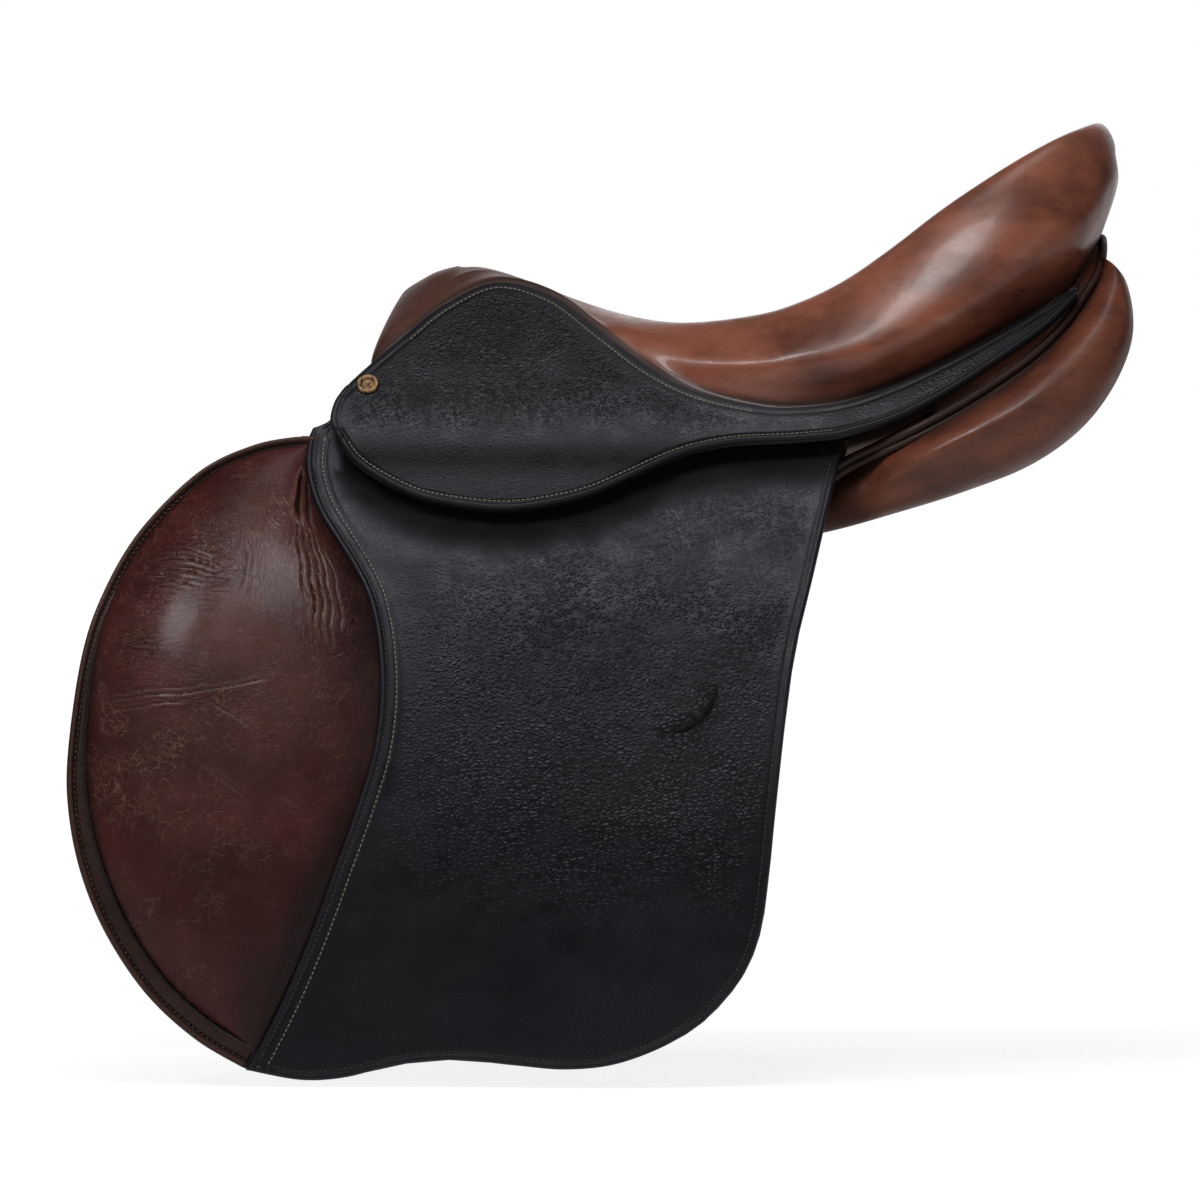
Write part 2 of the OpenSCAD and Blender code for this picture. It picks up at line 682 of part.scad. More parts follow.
// Stirrup bar: plate on the rail, arm, round bar with a slotted end, hinged catch and its pin
rod_layer_r = plate_r + steel_t + rod_reach;
rod_end = rod_lead + rod_l;
pin_x = rod_end - rod_r - slot_gap;
module at_bar() radial(bar_x, bar_z, rod_layer_r) children();
module along(r, from, length) translate([from, 0, 0]) rotate([0, 90, 0]) cylinder(r = r, h = length);
module bar_rivets(r) at_bar() for (s = bar_rivet_shares)
    translate([s * bar_l, 0, -rod_reach - bar_rivet_l]) cylinder(r = r, h = bar_rivet_l);
module stirrup_bar() difference() {
    at_bar() difference() {
        union() {
            translate([0, -bar_h / 2, -rod_reach - steel_t]) cube([bar_l, bar_h, steel_t]);
            translate([0, -rod_r, -rod_reach - steel_t / 2])
                cube([arm_l, 2 * rod_r, rod_reach + steel_t / 2]);
            along(rod_r, 0, rod_end);
        }
        translate([pin_x - rod_r - slot_gap, -rod_r - overrun, -tongue_t / 2 - slot_gap])
            cube([2 * rod_l, 2 * (rod_r + overrun), tongue_t + 2 * slot_gap]);
        translate([pin_x, 0, -rod_r - overrun]) cylinder(r = pin_r + pin_gap, h = 2 * (rod_r + overrun));
    }
    bar_rivets(rivet_r + pin_gap);
}
module left_stirrup_bar() color(steel) left_side() stirrup_bar();
module right_stirrup_bar() color(steel) right_side() stirrup_bar();
module stirrup_bar_rivets() color(steel)
    for (side = [0, 1]) mirror([0, side, 0]) left_side() bar_rivets(rivet_r);
module catch_pin() at_bar() translate([pin_x, 0, -rod_r]) cylinder(r = pin_r, h = 2 * rod_r);
module left_catch_pin() color(steel) left_side() catch_pin();
module right_catch_pin() color(steel) right_side() catch_pin();
module bar_catch() at_bar() translate([pin_x, 0, -tongue_t / 2]) difference() {
    union() {
        cylinder(r = rod_r - slot_gap, h = tongue_t);
        translate([0, -rod_r + slot_gap, 0]) cube([catch_l - rod_r, 2 * (rod_r - slot_gap), tongue_t]);
        translate([catch_l - rod_r, 0, 0]) cylinder(r = rod_r - slot_gap, h = tongue_t);
    }
    translate([0, 0, -overrun]) cylinder(r = pin_r + pin_gap, h = tongue_t + 2 * overrun);
}
module left_bar_catch() color(steel) left_side() bar_catch();
module right_bar_catch() color(steel) right_side() bar_catch();

// Skirts: fixed top with its tail, and the lobe that lifts about the fold
function skirt_drop_place(p) = [skirt_x + p.x * skirt_l, fold_z - p.y * lobe_drop];
skirt_front = spline([for (p = skirt_front_shares) skirt_place(p)], 6);
skirt_edge = spline([for (p = seat_edge_shares) skirt_place(p)], 42);
skirt_tail = spline([for (p = tail_shares) skirt_place(p)], 14);
skirt_lobe = spline([for (p = lobe_shares) skirt_drop_place(p)], 26);
module skirt_top() difference() {
    barrel_sheet(skirt_r, skirt_t, concat(skirt_front, skirt_edge, skirt_tail));
    nail_shanks(shank_r + pin_gap);
}
module left_skirt_top() color(skirt_black) left_side() skirt_top();
module right_skirt_top() color(skirt_black) right_side() skirt_top();
module skirt_lobe_sheet() barrel_sheet(skirt_r, skirt_t, [for (p = skirt_lobe) [p.x, p.y - fold_gap]]);
module left_skirt() color(skirt_black) left_side() skirt_lobe_sheet();
module right_skirt() color(skirt_black) right_side() skirt_lobe_sheet();

// Nails through the skirt and through the top of the flap into the tree points
flap_top_outline = places(flap_top_shares, [flap_top_x, fold_z + fold_gap], [flap_top_run, flap_top_rise]);
flap_nail_places = places(flap_nail_shares, [flap_top_x, fold_z + fold_gap], [flap_top_run, flap_top_rise]);
module nail_shanks(r) {
    radial(skirt_nail_x, skirt_nail_z, skirt_out_r) translate([0, 0, -skirt_nail_l])
        cylinder(r = r, h = skirt_nail_l + overrun);
    for (p = flap_nail_places) radial(p.x, p.y, flap_out_r) translate([0, 0, -flap_nail_l])
        cylinder(r = r, h = flap_nail_l + overrun);
}
module skirt_nail() radial(skirt_nail_x, skirt_nail_z, skirt_out_r) {
    translate([0, 0, -skirt_nail_l]) cylinder(r = shank_r, h = skirt_nail_l + nail_ring_h);
    translate([0, 0, gap]) rotate_extrude()
        polygon([for (p = nail_profile_shares) [p.x * nail_head_r, p.y * nail_ring_h]]);
}
module skirt_nails() color(antique_brass) {
    left_side() skirt_nail();
    right_side() skirt_nail();
}
module flap_nail(p) radial(p.x, p.y, flap_out_r) {
    translate([0, 0, -flap_nail_l]) cylinder(r = shank_r, h = flap_nail_l + flap_nail_h);
    translate([0, 0, gap]) cylinder(r = flap_nail_r, h = flap_nail_h);
}
module flap_nails() color(steel) for (p = flap_nail_places) {
    left_side() flap_nail(p);
    right_side() flap_nail(p);
}

// Flap: fixed top, lining, black leather, knee pad and rolled edge
module flap_top() difference() {
    barrel_sheet(lining_r, flap_out_r - lining_r, flap_top_outline);
    nail_shanks(shank_r + pin_gap);
}
module left_flap_top() color(flap_black) left_side() flap_top();
module right_flap_top() color(flap_black) right_side() flap_top();

flap_size = [flap_l, -flap_drop];
flap_start = [flap_x, fold_z];
flap_front = spline(places(flap_front_shares, flap_start, flap_size), 30);
flap_rear = spline(places(flap_rear_shares, flap_start, flap_size), 36);
pad_seam = spline(places(pad_seam_shares, flap_start, flap_size), 26);
module flap_lining() barrel_sheet(lining_r, lining_t, concat(flap_front, flap_rear));
module left_flap_lining() color(lining_black) left_side() flap_lining();
module right_flap_lining() color(lining_black) right_side() flap_lining();
module black_flap() barrel_sheet(flap_r, flap_t, concat(pad_seam, flap_rear));
module left_flap() color(flap_black) left_side() black_flap();
module right_flap() color(flap_black) right_side() black_flap();

// Quilted strip on the barrel between two curves, crowned across and tapered to its ends
function quilt_height(t, s, edge, crown, power, taper) =
    edge + crown * (1 - pow(abs(2 * t - 1), power)) * (taper == 0 ? 1 : 1 - pow(abs(2 * s - 1), taper));
function quilt_rings(a, b, cols, edge, crown, power, taper) =
    let (n = len(a) - 1)
    [for (k = [0 : n]) concat(
        [for (c = [0 : cols])
            let (t = c / cols, p = lerp(a[k], b[k], t), h = quilt_height(t, k / n, edge, crown, power, taper))
            [p.x, side_y(flap_r + h, p.y), p.y]],
        [for (c = [cols : -1 : 0])
            let (p = lerp(a[k], b[k], c / cols)) [p.x, side_y(flap_r, p.y), p.y]]
    )];
pad_edge_h = 3;
pad_rows = 20;
pad_cols = 10;
pad_power = 2.4;
pad_taper = 3;
rim_edge_h = 2;
rim_cols = 4;
rim_rows = 28;
rim_span_shares = [.02, .985];
rim_outer = beside(spline_part(flap_front, rim_span_shares, rim_rows), gap);
rim_inner = beside(spline_part(flap_front, rim_span_shares, rim_rows), rim_w);
pad_front = beside(spline_part(flap_front, pad_front_span_shares, pad_rows), rim_w + 2 * gap);
pad_rear = beside(spline_part(pad_seam, pad_seam_span_shares, pad_rows), -2 * gap);
module knee_pad()
    tube(quilt_rings(pad_front, pad_rear, pad_cols, pad_edge_h, pad_crown, pad_power, pad_taper));
module left_knee_pad() color(pad_brown) left_side() knee_pad();
module right_knee_pad() color(pad_brown) right_side() knee_pad();
module pad_binding() tube(quilt_rings(rim_outer, rim_inner, rim_cols, rim_edge_h, rim_h - rim_edge_h, 2, 0));
module left_pad_binding() color(lining_black) left_side() pad_binding();
module right_pad_binding() color(lining_black) right_side() pad_binding();

// Panel: flattened rings along its stations, held clear of what lies round it
panel_rows = [for (k = [0 : len(panel_shares) - 1])
    let (p = panel_shares[k])
    [panel_x + p[0] * panel_l, -p[1] * panel_spread, panel_z + p[2] * panel_rise,
     p[3] * panel_half_w, p[4] * panel_half_t, panel_turns[k][0], panel_turns[k][1]]];
function squared(v) = sign(v) * pow(abs(v), 2 / panel_squareness);
function panel_limit(x) =
    x > panel_flap_x ? barrel_r + side_reach
    : x > sweat_rear_x ? lining_r - 2 * gap
    : x > sweat_front_x ? barrel_r - 2 * gap
    : barrel_r + side_reach;
function held_in(p, r) =
    let (q = to_side(p), d = [q.y - barrel_y, q.z - barrel_z], n = norm(d))
    n <= r ? p : to_saddle([q.x, barrel_y + d.x * r / n, barrel_z + d.y * r / n]);
function rail_room(x) =
    rail_low(x) - steel_t - 2 * gap + panel_rear_slope * max(0, x - rail_x - rail_l);
function pressed(z, top) = let (start = top - panel_press)
    z < start ? z : top - panel_press * exp((start - z) / panel_press);
function panel_clear(p) =
    let (q = held_in(p, panel_limit(p.x)), z = pressed(q.z, rail_room(q.x)))
    [q.x, min(q.y, -channel_half_w), q.x < panel_point_x ? min(z, point_end_z - gap) : z];
function panel_ring(s) =
    let (w = spline_at(panel_rows, s), tilt = w[5], lean = w[6])
    [for (j = [0 : panel_sides - 1])
        let (a = 360 * j / panel_sides, u = w[3] * squared(cos(a)), v = w[4] * squared(sin(a)))
        panel_clear([w[0], w[1], w[2]]
            + u * [0, -cos(tilt), -sin(tilt)]
            + v * [sin(lean), -sin(tilt) * cos(lean), cos(tilt) * cos(lean)])];
module panel() tube([for (k = [0 : panel_stations]) panel_ring(k / panel_stations)]);
module left_panel() color(panel_brown) panel();
module right_panel() color(panel_brown) mirror([0, 1, 0]) panel();

// Welt round the top of the panels, and the leather band between welt and skirt tail
welt_line = places(welt_shares, [welt_x, welt_z], [welt_run, welt_rise]);
welt_left = [for (p = welt_line) side_point(p.x, p.y, welt_layer_r)];
welt_path = concat(
    welt_left, [[welt_rear_x, 0, welt_rear_z]],
    [for (i = [len(welt_left) - 1 : -1 : 0]) mirrored(welt_left[i])]
);
function tube_ring(path, i, r, sides) =
    let (n = len(path) - 1, t = unit(path[min(i + 1, n)] - path[max(i - 1, 0)]),
         u = unit(cross(t, [0, 0, 1])), v = cross(u, t))
    [for (j = [0 : sides - 1]) path[i] + r * (cos(360 * j / sides) * u + sin(360 * j / sides) * v)];
module cantle_welt() {
    path = spline(welt_path, welt_rings);
    color(panel_brown) tube([for (i = [0 : len(path) - 1]) tube_ring(path, i, welt_r, welt_sides)]);
}
tail_low = spline([for (i = [len(tail_shares) - 1 : -1 : 2]) skirt_place(tail_shares[i])], 12);
band_outline_points = concat(
    [for (p = beside(spline(welt_line, 14), welt_r + 3 * gap)) if (p.x < last_x(tail_low)) p],
    [for (i = [len(tail_low) - 1 : -1 : 0])
        if (tail_low[i].x > welt_x) [tail_low[i].x, tail_low[i].y + band_top_lift]]
);
function last_x(points) = points[len(points) - 1].x;
module cantle_band() barrel_sheet(band_r, band_t, band_outline_points);
module left_cantle_band() color(panel_brown) left_side() cantle_band();
module right_cantle_band() color(panel_brown) right_side() cantle_band();

// Sweat flap under the girth straps
sweat_outline = spline(places(sweat_shares, [sweat_x, sweat_z], [sweat_l, -sweat_drop]), 39);
module sweat_flap() barrel_sheet(barrel_r, sweat_t, sweat_outline);
module left_sweat_flap() color(lining_black) left_side() sweat_flap();
module right_sweat_flap() color(lining_black) right_side() sweat_flap();

// Girth web on the rail, three straps with buckle holes, and the guard that slides on them
function box_outline(x, z, w, h) = [[x, z], [x + w, z], [x + w, z + h], [x, z + h]];
web_half = strap_pitch + web_side;
web_step_x = bar_x + bar_l + web_bar_gap;
plate_mid_z = bar_z - (rod_reach + steel_t / 2) * sin(lean_at(bar_z, rod_layer_r));
web_step_z = plate_mid_z - bar_h / 2 - web_bar_gap;
web_top_z = girth_web_z + girth_web_h;
girth_web_outline = [
    [strap_x - web_half, girth_web_z], [strap_x + web_half, girth_web_z], [strap_x + web_half, web_top_z],
    [web_step_x, web_top_z], [web_step_x, web_step_z], [strap_x - web_half, web_step_z]
];
module girth_web() barrel_sheet(girth_web_r, girth_web_t, girth_web_outline);
module left_girth_web() color(linen) left_side() girth_web();
module right_girth_web() color(linen) right_side() girth_web();

strap_end_z = strap_z - strap_l;
first_hole_z = strap_end_z + hole_tip_share * strap_w;
function strap_outline(x) = [
    [x - strap_w / 2, strap_z], [x - strap_w / 2, strap_end_z + strap_w * strap_tip_share],
    [x - strap_w / 4, strap_end_z], [x + strap_w / 4, strap_end_z],
    [x + strap_w / 2, strap_end_z + strap_w * strap_tip_share], [x + strap_w / 2, strap_z]
];
module strap(place) {
    x = strap_x + place * strap_pitch;
    difference() {
        barrel_sheet(strap_r, strap_t, strap_outline(x));
        for (i = [0 : hole_count - 1]) radial(x, first_hole_z + i * hole_pitch, strap_r)
            translate([0, 0, -overrun]) cylinder(r = hole_r, h = strap_t + 2 * overrun);
    }
}
module left_front_strap() color(lining_black) left_side() strap(-1);
module left_middle_strap() color(lining_black) left_side() strap(0);
module left_rear_strap() color(lining_black) left_side() strap(1);
module right_front_strap() color(lining_black) right_side() strap(-1);
module right_middle_strap() color(lining_black) right_side() strap(0);
module right_rear_strap() color(lining_black) right_side() strap(1);

guard_half = strap_pitch + strap_w / 2 + guard_side;
channel_w = strap_w + 2 * guard_gap;
module buckle_guard() difference() {
    barrel_sheet(guard_r, guard_out_r - guard_r,
        box_outline(strap_x - guard_half, guard_z, 2 * guard_half, guard_h));
    for (place = [-1 : 1]) barrel_sheet(strap_r - guard_gap, strap_t + 2 * guard_gap,
        box_outline(strap_x + place * strap_pitch - channel_w / 2, guard_z - guard_h, channel_w,
            3 * guard_h));
}
module left_buckle_guard() color(lining_black) left_side() buckle_guard();
module right_buckle_guard() color(lining_black) right_side() buckle_guard();

tree_head();
head_plate();
gullet_plate();
pommel_facing();
left_tree_rail();
right_tree_rail();
left_rail_spring();
right_rail_spring();
tree_cantle();
tree_rivets();
left_stirrup_bar();
right_stirrup_bar();
stirrup_bar_rivets();
left_catch_pin();
right_catch_pin();
left_bar_catch();
right_bar_catch();
cross_webs();
straining_web();
seat_foam();
seat_cover();
left_skirt_top();
right_skirt_top();
left_skirt();
right_skirt();
skirt_nails();
left_flap_top();
right_flap_top();
flap_nails();
left_flap_lining();
right_flap_lining();
left_flap();
right_flap();
left_knee_pad();
right_knee_pad();
left_pad_binding();
right_pad_binding();
left_panel();
right_panel();
cantle_welt();
left_cantle_band();
right_cantle_band();
left_sweat_flap();
right_sweat_flap();
left_girth_web();
right_girth_web();
left_front_strap();
left_middle_strap();
left_rear_strap();
right_front_strap();
right_middle_strap();
right_rear_strap();
left_buckle_guard();
right_buckle_guard();
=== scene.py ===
# %% [markdown]
# # A jumping saddle in leather
# The tree, joints and layers of the saddle come packed as a fixed frame. This lesson dresses that frame:
# most soft pieces are made again as fine leather, and the rest, with every hard piece, get their own finish.
# Lengths are metres.

# %% Load the frame
import json
import math

import bmesh
import bpy
import numpy as np
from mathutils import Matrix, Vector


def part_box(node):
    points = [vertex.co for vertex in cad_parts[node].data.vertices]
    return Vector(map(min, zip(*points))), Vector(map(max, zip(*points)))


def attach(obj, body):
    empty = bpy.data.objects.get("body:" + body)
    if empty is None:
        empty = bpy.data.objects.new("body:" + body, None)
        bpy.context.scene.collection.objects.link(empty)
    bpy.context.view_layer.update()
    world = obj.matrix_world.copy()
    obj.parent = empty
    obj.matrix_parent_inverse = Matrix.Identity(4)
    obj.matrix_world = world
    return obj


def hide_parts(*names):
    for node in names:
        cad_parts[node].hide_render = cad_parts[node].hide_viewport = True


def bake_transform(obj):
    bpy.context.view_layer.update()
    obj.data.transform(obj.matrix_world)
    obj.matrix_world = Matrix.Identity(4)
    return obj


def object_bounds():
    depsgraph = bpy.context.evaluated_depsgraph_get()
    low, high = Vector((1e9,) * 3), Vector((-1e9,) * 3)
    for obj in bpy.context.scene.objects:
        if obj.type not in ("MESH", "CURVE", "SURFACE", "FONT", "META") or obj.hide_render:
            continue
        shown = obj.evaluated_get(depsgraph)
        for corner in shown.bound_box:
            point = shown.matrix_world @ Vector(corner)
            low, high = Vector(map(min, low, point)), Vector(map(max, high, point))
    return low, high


MM = 0.001
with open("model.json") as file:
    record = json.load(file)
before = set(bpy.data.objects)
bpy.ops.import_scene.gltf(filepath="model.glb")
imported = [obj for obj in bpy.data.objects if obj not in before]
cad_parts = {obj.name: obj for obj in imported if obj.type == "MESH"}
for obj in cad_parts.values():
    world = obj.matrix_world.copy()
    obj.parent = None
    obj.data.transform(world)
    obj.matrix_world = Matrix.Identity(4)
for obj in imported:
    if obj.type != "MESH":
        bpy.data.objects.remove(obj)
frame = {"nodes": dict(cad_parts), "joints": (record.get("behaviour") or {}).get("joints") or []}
frame_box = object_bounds()
joints = {joint["name"]: joint for joint in frame["joints"]}

# %% [markdown]
# ## Camera, light and floor
# A long lens far away keeps the two ends of the saddle at one scale, as a product picture does. Two soft
# boxes high in front give most of the light, with weak ones overhead, at the cantle and on the far side.
# The floor and the world are white to the camera by themselves, so no lamp has to burn them out. Near the
# saddle a share of plain floor keeps the shadow. Shiny things mirror a white backdrop behind the saddle, a
# dim room in front and about a third of the floor's white, so dark leather stays dark.

# %% Camera
view_width = 0.684
camera_distance = 6.0
camera_height = 0.06
look_at = (-0.0513, 0.0, -0.057)
camera_data = bpy.data.cameras.new("camera")
camera_data.sensor_width = 36.0
camera_data.lens = camera_data.sensor_width * camera_distance / view_width
camera_data.clip_end = 50.0
camera = bpy.data.objects.new("camera", camera_data)
camera.location = (look_at[0], look_at[1] - camera_distance, look_at[2] + camera_height)
camera.rotation_euler = (math.pi / 2 - math.atan2(camera_height, camera_distance), 0.0, 0.0)
bpy.context.scene.collection.objects.link(camera)
bpy.context.scene.camera = camera
bpy.context.scene.view_settings.view_transform = "Standard"
print("lens", round(camera_data.lens), "mm")

# %% Soft boxes
def soft_box(name, place, aim, width, depth, watts):
    data = bpy.data.lights.new(name, "AREA")
    data.shape = "RECTANGLE"
    data.size = width
    data.size_y = depth
    data.energy = watts
    lamp = bpy.data.objects.new(name, data)
    lamp.location = place
    toward = Vector(aim) - Vector(place)
    lamp.rotation_euler = toward.to_track_quat("-Z", "Y").to_euler()
    bpy.context.scene.collection.objects.link(lamp)
    return lamp


middle_of_seat = (0.0, 0.0, 0.0)
soft_box("front_box", (-0.25, -1.45, 1.75), middle_of_seat, 0.9, 0.6, 30.0)
soft_box("overhead_box", (0.15, -0.1, 1.8), middle_of_seat, 1.2, 0.5, 5.0)
soft_box("shoulder_box", (-1.5, -1.7, 1.95), middle_of_seat, 0.6, 0.45, 26.0)
soft_box("cantle_box", (1.7, -1.9, 0.9), middle_of_seat, 1.2, 1.2, 4.0)
soft_box("far_box", (0.2, 2.0, 0.9), middle_of_seat, 1.4, 0.6, 1.0)
print(len(bpy.data.lights), "soft boxes")

# %% Shader tools
def add(owner, kind, inputs=None, **settings):
    """A shader node of a finish or of the world. An input takes a value or another node's output."""
    node = owner.node_tree.nodes.new("ShaderNode" + kind)
    for key, value in settings.items():
        setattr(node, key, value)
    for key, value in (inputs or {}).items():
        if isinstance(value, bpy.types.NodeSocket):
            owner.node_tree.links.new(value, node.inputs[key])
        else:
            node.inputs[key].default_value = value
    return node


def sums(owner, operation, first, second):
    return add(owner, "Math", {0: first, 1: second}, operation=operation).outputs[0]


def times(owner, first, second):
    return sums(owner, "MULTIPLY", first, second)


def chosen(owner, factor, otherwise, shader):
    """The first shader where the factor is 0, the second where it is 1."""
    return add(owner, "MixShader", {0: factor, 1: otherwise, 2: shader}).outputs[0]


def seen_directly(owner):
    """Whether a ray comes from the camera, and whether it comes from a mirror or through glass."""
    rays = add(owner, "LightPath").outputs
    return rays["Is Camera Ray"], sums(owner, "MAXIMUM", rays["Is Glossy Ray"], rays["Is Transmission Ray"])


print("shader tools ready")

# %% World
white = (1.0, 1.0, 1.0, 1.0)
world = bpy.data.worlds.new("studio")
bpy.context.scene.world = world
world.use_nodes = True
world.node_tree.nodes.clear()


def background(strength):
    return add(world, "Background", {"Color": white, "Strength": strength}).outputs[0]


to_camera, to_mirrors = seen_directly(world)
toward = add(world, "TexCoord").outputs["Generated"]
away = add(world, "SeparateXYZ", {0: toward}).outputs["Y"]
backdrop_ends = {"Value": away, "From Min": 0.75, "From Max": 1.0, "To Min": 0.07, "To Max": 1.0}
backdrop = add(world, "MapRange", backdrop_ends).outputs["Result"]
fill_light = background(0.17)
mirrored_room = chosen(world, to_mirrors, fill_light, background(backdrop))
add(world, "OutputWorld", {"Surface": chosen(world, to_camera, mirrored_room, background(1.0))})
print(len(world.node_tree.nodes), "world nodes")

# %% Floor
floor_gap = 0.004
floor_half = 30.0
mirrored_share = 0.35
floor_z = frame_box[0].z - floor_gap
floor_mesh = bpy.data.meshes.new("floor")
floor_signs = [(-1, -1), (1, -1), (1, 1), (-1, 1)]
floor_corners = [(x * floor_half, y * floor_half, floor_z) for x, y in floor_signs]
floor_mesh.from_pydata(floor_corners, [], [(0, 1, 2, 3)])
floor = bpy.data.objects.new("floor", floor_mesh)
bpy.context.scene.collection.objects.link(floor)
floor_paint = bpy.data.materials.new("pale_floor")
floor_paint.use_nodes = True
floor_paint.node_tree.nodes.clear()
to_camera, to_mirrors = seen_directly(floor_paint)
shown_white = sums(floor_paint, "MAXIMUM", to_camera, times(floor_paint, to_mirrors, mirrored_share))
floor_place = add(floor_paint, "TexCoord").outputs["Object"]
from_saddle = add(floor_paint, "VectorMath", {0: floor_place}, operation="LENGTH").outputs["Value"]
whiter_ends = {"Value": from_saddle, "From Min": 0.35, "From Max": 1.1, "To Min": 0.78, "To Max": 1.0}
whiter = add(floor_paint, "MapRange", whiter_ends).outputs["Result"]
pale = add(floor_paint, "BsdfDiffuse", {"Color": (0.86, 0.86, 0.86, 1.0)}).outputs[0]
glow = add(floor_paint, "Emission", {"Strength": 1.1}).outputs[0]
floor_look = chosen(floor_paint, times(floor_paint, shown_white, whiter), pale, glow)
add(floor_paint, "OutputMaterial", {"Surface": floor_look})
floor_mesh.materials.append(floor_paint)
print("floor at", round(floor_z, 3))

# %% [markdown]
# ## Where leather lies on a horse's side
# Flaps and skirts follow the barrel of the horse, a wide cylinder. Its axis is the one that the buckle
# guard slides about, so it can be read from the frame. A point of leather is then three numbers: how far it
# lies along the barrel, how far round it, and how far out. Flat leather patterns become curved pieces just
# by this change of numbers.

# %% The barrel of the left side
barrel_point = np.array(joints["left_guard_slide"]["pos_m"])
along = -np.array(joints["left_guard_slide"]["axis"])
along = along / np.linalg.norm(along)
up = np.array([0.0, 0.0, 1.0])
inward = np.cross(up, along)
fold_z = joints["left_flap_lift"]["pos_m"][2]


def node_points(node):
    mesh = frame["nodes"][node].data
    points = np.zeros(len(mesh.vertices) * 3)
    mesh.vertices.foreach_get("co", points)
    return points.reshape(-1, 3)


def side_extent(node):
    """Lowest and highest x along the barrel, lowest and highest z, inner and outer radius of a node."""
    points = node_points(node) - barrel_point
    x = points @ along
    z = points @ up
    radius = np.hypot(points @ inward, z)
    z = z + barrel_point[2]
    return (x.min(), x.max()), (z.min(), z.max()), (radius.min(), radius.max())


def flat_places(x, z, base):
    """Flat leather, as x along the barrel and arc round it, that comes to lie at x and at height z."""
    return np.stack([x, base * np.arcsin((z - barrel_point[2]) / base)], axis=-1)


def on_barrel(flat, radius, base):
    """Saddle places of flat leather. Its arc was measured at the base radius, and it lies at radius."""
    angle = flat[..., 1] / base
    out = (radius * np.cos(angle))[..., None]
    rise = (radius * np.sin(angle))[..., None]
    return barrel_point + flat[..., :1] * along - out * inward + rise * up


layer = {node: side_extent("left_" + node)[2] for node in ("flap_lining", "flap", "skirt")}
print({node: [round(r / MM, 1) for r in radii] for node, radii in layer.items()})

# %% [markdown]
# ## Lines and sheets
# A saddler cuts leather to a pattern, so the pieces here start as pattern lines: a few points, and a smooth
# curve through them. A sheet is a fine grid between four such lines. It could be made with a subdivided
# plane and a cut, but a grid that follows the outline gives clean edges, and rows of points can be crowded
# where a bead or a slit needs them. The underside is a coarser grid joined to the edge, so each sheet is
# closed.

# %% Pattern lines
def smooth_line(points, steps):
    """Smooth curve through points, in even steps from point to point."""
    points = np.asarray(points, float)
    last = len(points) - 1
    place = np.linspace(0, last, steps + 1)
    i = np.minimum(place.astype(int), last - 1)
    t = (place - i)[:, None]
    a = points[np.maximum(i - 1, 0)]
    b = points[i]
    c = points[i + 1]
    d = points[np.minimum(i + 2, last)]
    return 0.5 * (2 * b + (c - a) * t + (2 * a - 5 * b + 4 * c - d) * t**2 + (3 * b - a - 3 * c + d) * t**3)


def run_of(line):
    return np.concatenate([[0.0], np.cumsum(np.linalg.norm(np.diff(line, axis=0), axis=1))])


def line_at(line, shares):
    """Points at shares of a line's length."""
    run = run_of(line)
    return np.stack([np.interp(shares * run[-1], run, line[:, k]) for k in range(line.shape[1])], axis=1)


def unit(vectors):
    return vectors / np.linalg.norm(vectors, axis=-1)[..., None]


def left_of(line):
    """The way to the left of a flat line's direction, at each of its points."""
    way = unit(np.gradient(line, axis=0))
    return np.stack([-way[:, 1], way[:, 0]], axis=1)


def beside(line, distance):
    """A flat line moved to the left of its direction, by one distance or by one for each point."""
    return line + np.broadcast_to(distance, len(line))[:, None] * left_of(line)


def crowded(count, spans, crowding):
    """Shares from 0 to 1 that lie closer together inside the spans."""
    t = np.linspace(0, 1, 4001)
    density = np.ones_like(t)
    for low, high in spans:
        density = density + crowding * ((t >= low) & (t <= high))
    total = np.concatenate([[0.0], np.cumsum((density[1:] + density[:-1]) / 2)])
    return np.interp(np.linspace(0, 1, count + 1), total / total[-1], t)


def pattern_grid(front, rear, top, bottom, down, across):
    """Grid between four lines: front and rear run downwards, top and bottom run from front to rear."""
    left = line_at(front, down)[:, None]
    right = line_at(rear, down)[:, None]
    high = line_at(top, across)[None]
    low = line_at(bottom, across)[None]
    v = down[:, None, None]
    u = across[None, :, None]
    corners = (1 - v) * ((1 - u) * top[0] + u * top[-1]) + v * ((1 - u) * bottom[0] + u * bottom[-1])
    return (1 - v) * high + v * low + (1 - u) * left + u * right - corners


def ruled_grid(first, second, across):
    """Grid of straight rows from one line to another."""
    across = across[None, :, None]
    return (1 - across) * first[:, None] + across * second[:, None]


def distance_to(line, grid):
    """Distance of each grid point from a pattern line."""
    best = np.full(grid.shape[:-1], np.inf)
    for a, b in zip(line[:-1], line[1:]):
        way = b - a
        share = np.clip(((grid - a) @ way) / max(way @ way, 1e-12), 0, 1)
        best = np.minimum(best, np.linalg.norm(grid - a - share[..., None] * way, axis=-1))
    return best


def bell(distance, middle, width):
    return np.exp(-(((distance - middle) / width) ** 2))


def ridge(distance, height, middle, width):
    """A low bead along a line, sizes in millimetres."""
    return height * MM * bell(distance, middle * MM, width * MM)


def eased_step(value, low, high):
    """From 0 at low to 1 at high, with soft ends."""
    share = np.clip((value - low) / (high - low), 0, 1)
    return share * share * (3 - 2 * share)


def round_over(distance, radius):
    """How far a rounded edge drops below the sheet."""
    inside = np.clip(radius - distance, 0, radius)
    return radius - np.sqrt(radius**2 - inside**2)


print("pattern tools ready")

# %% Meshes
def to_side(points, side):
    return points * (1, -1, 1) if side == "right" else points


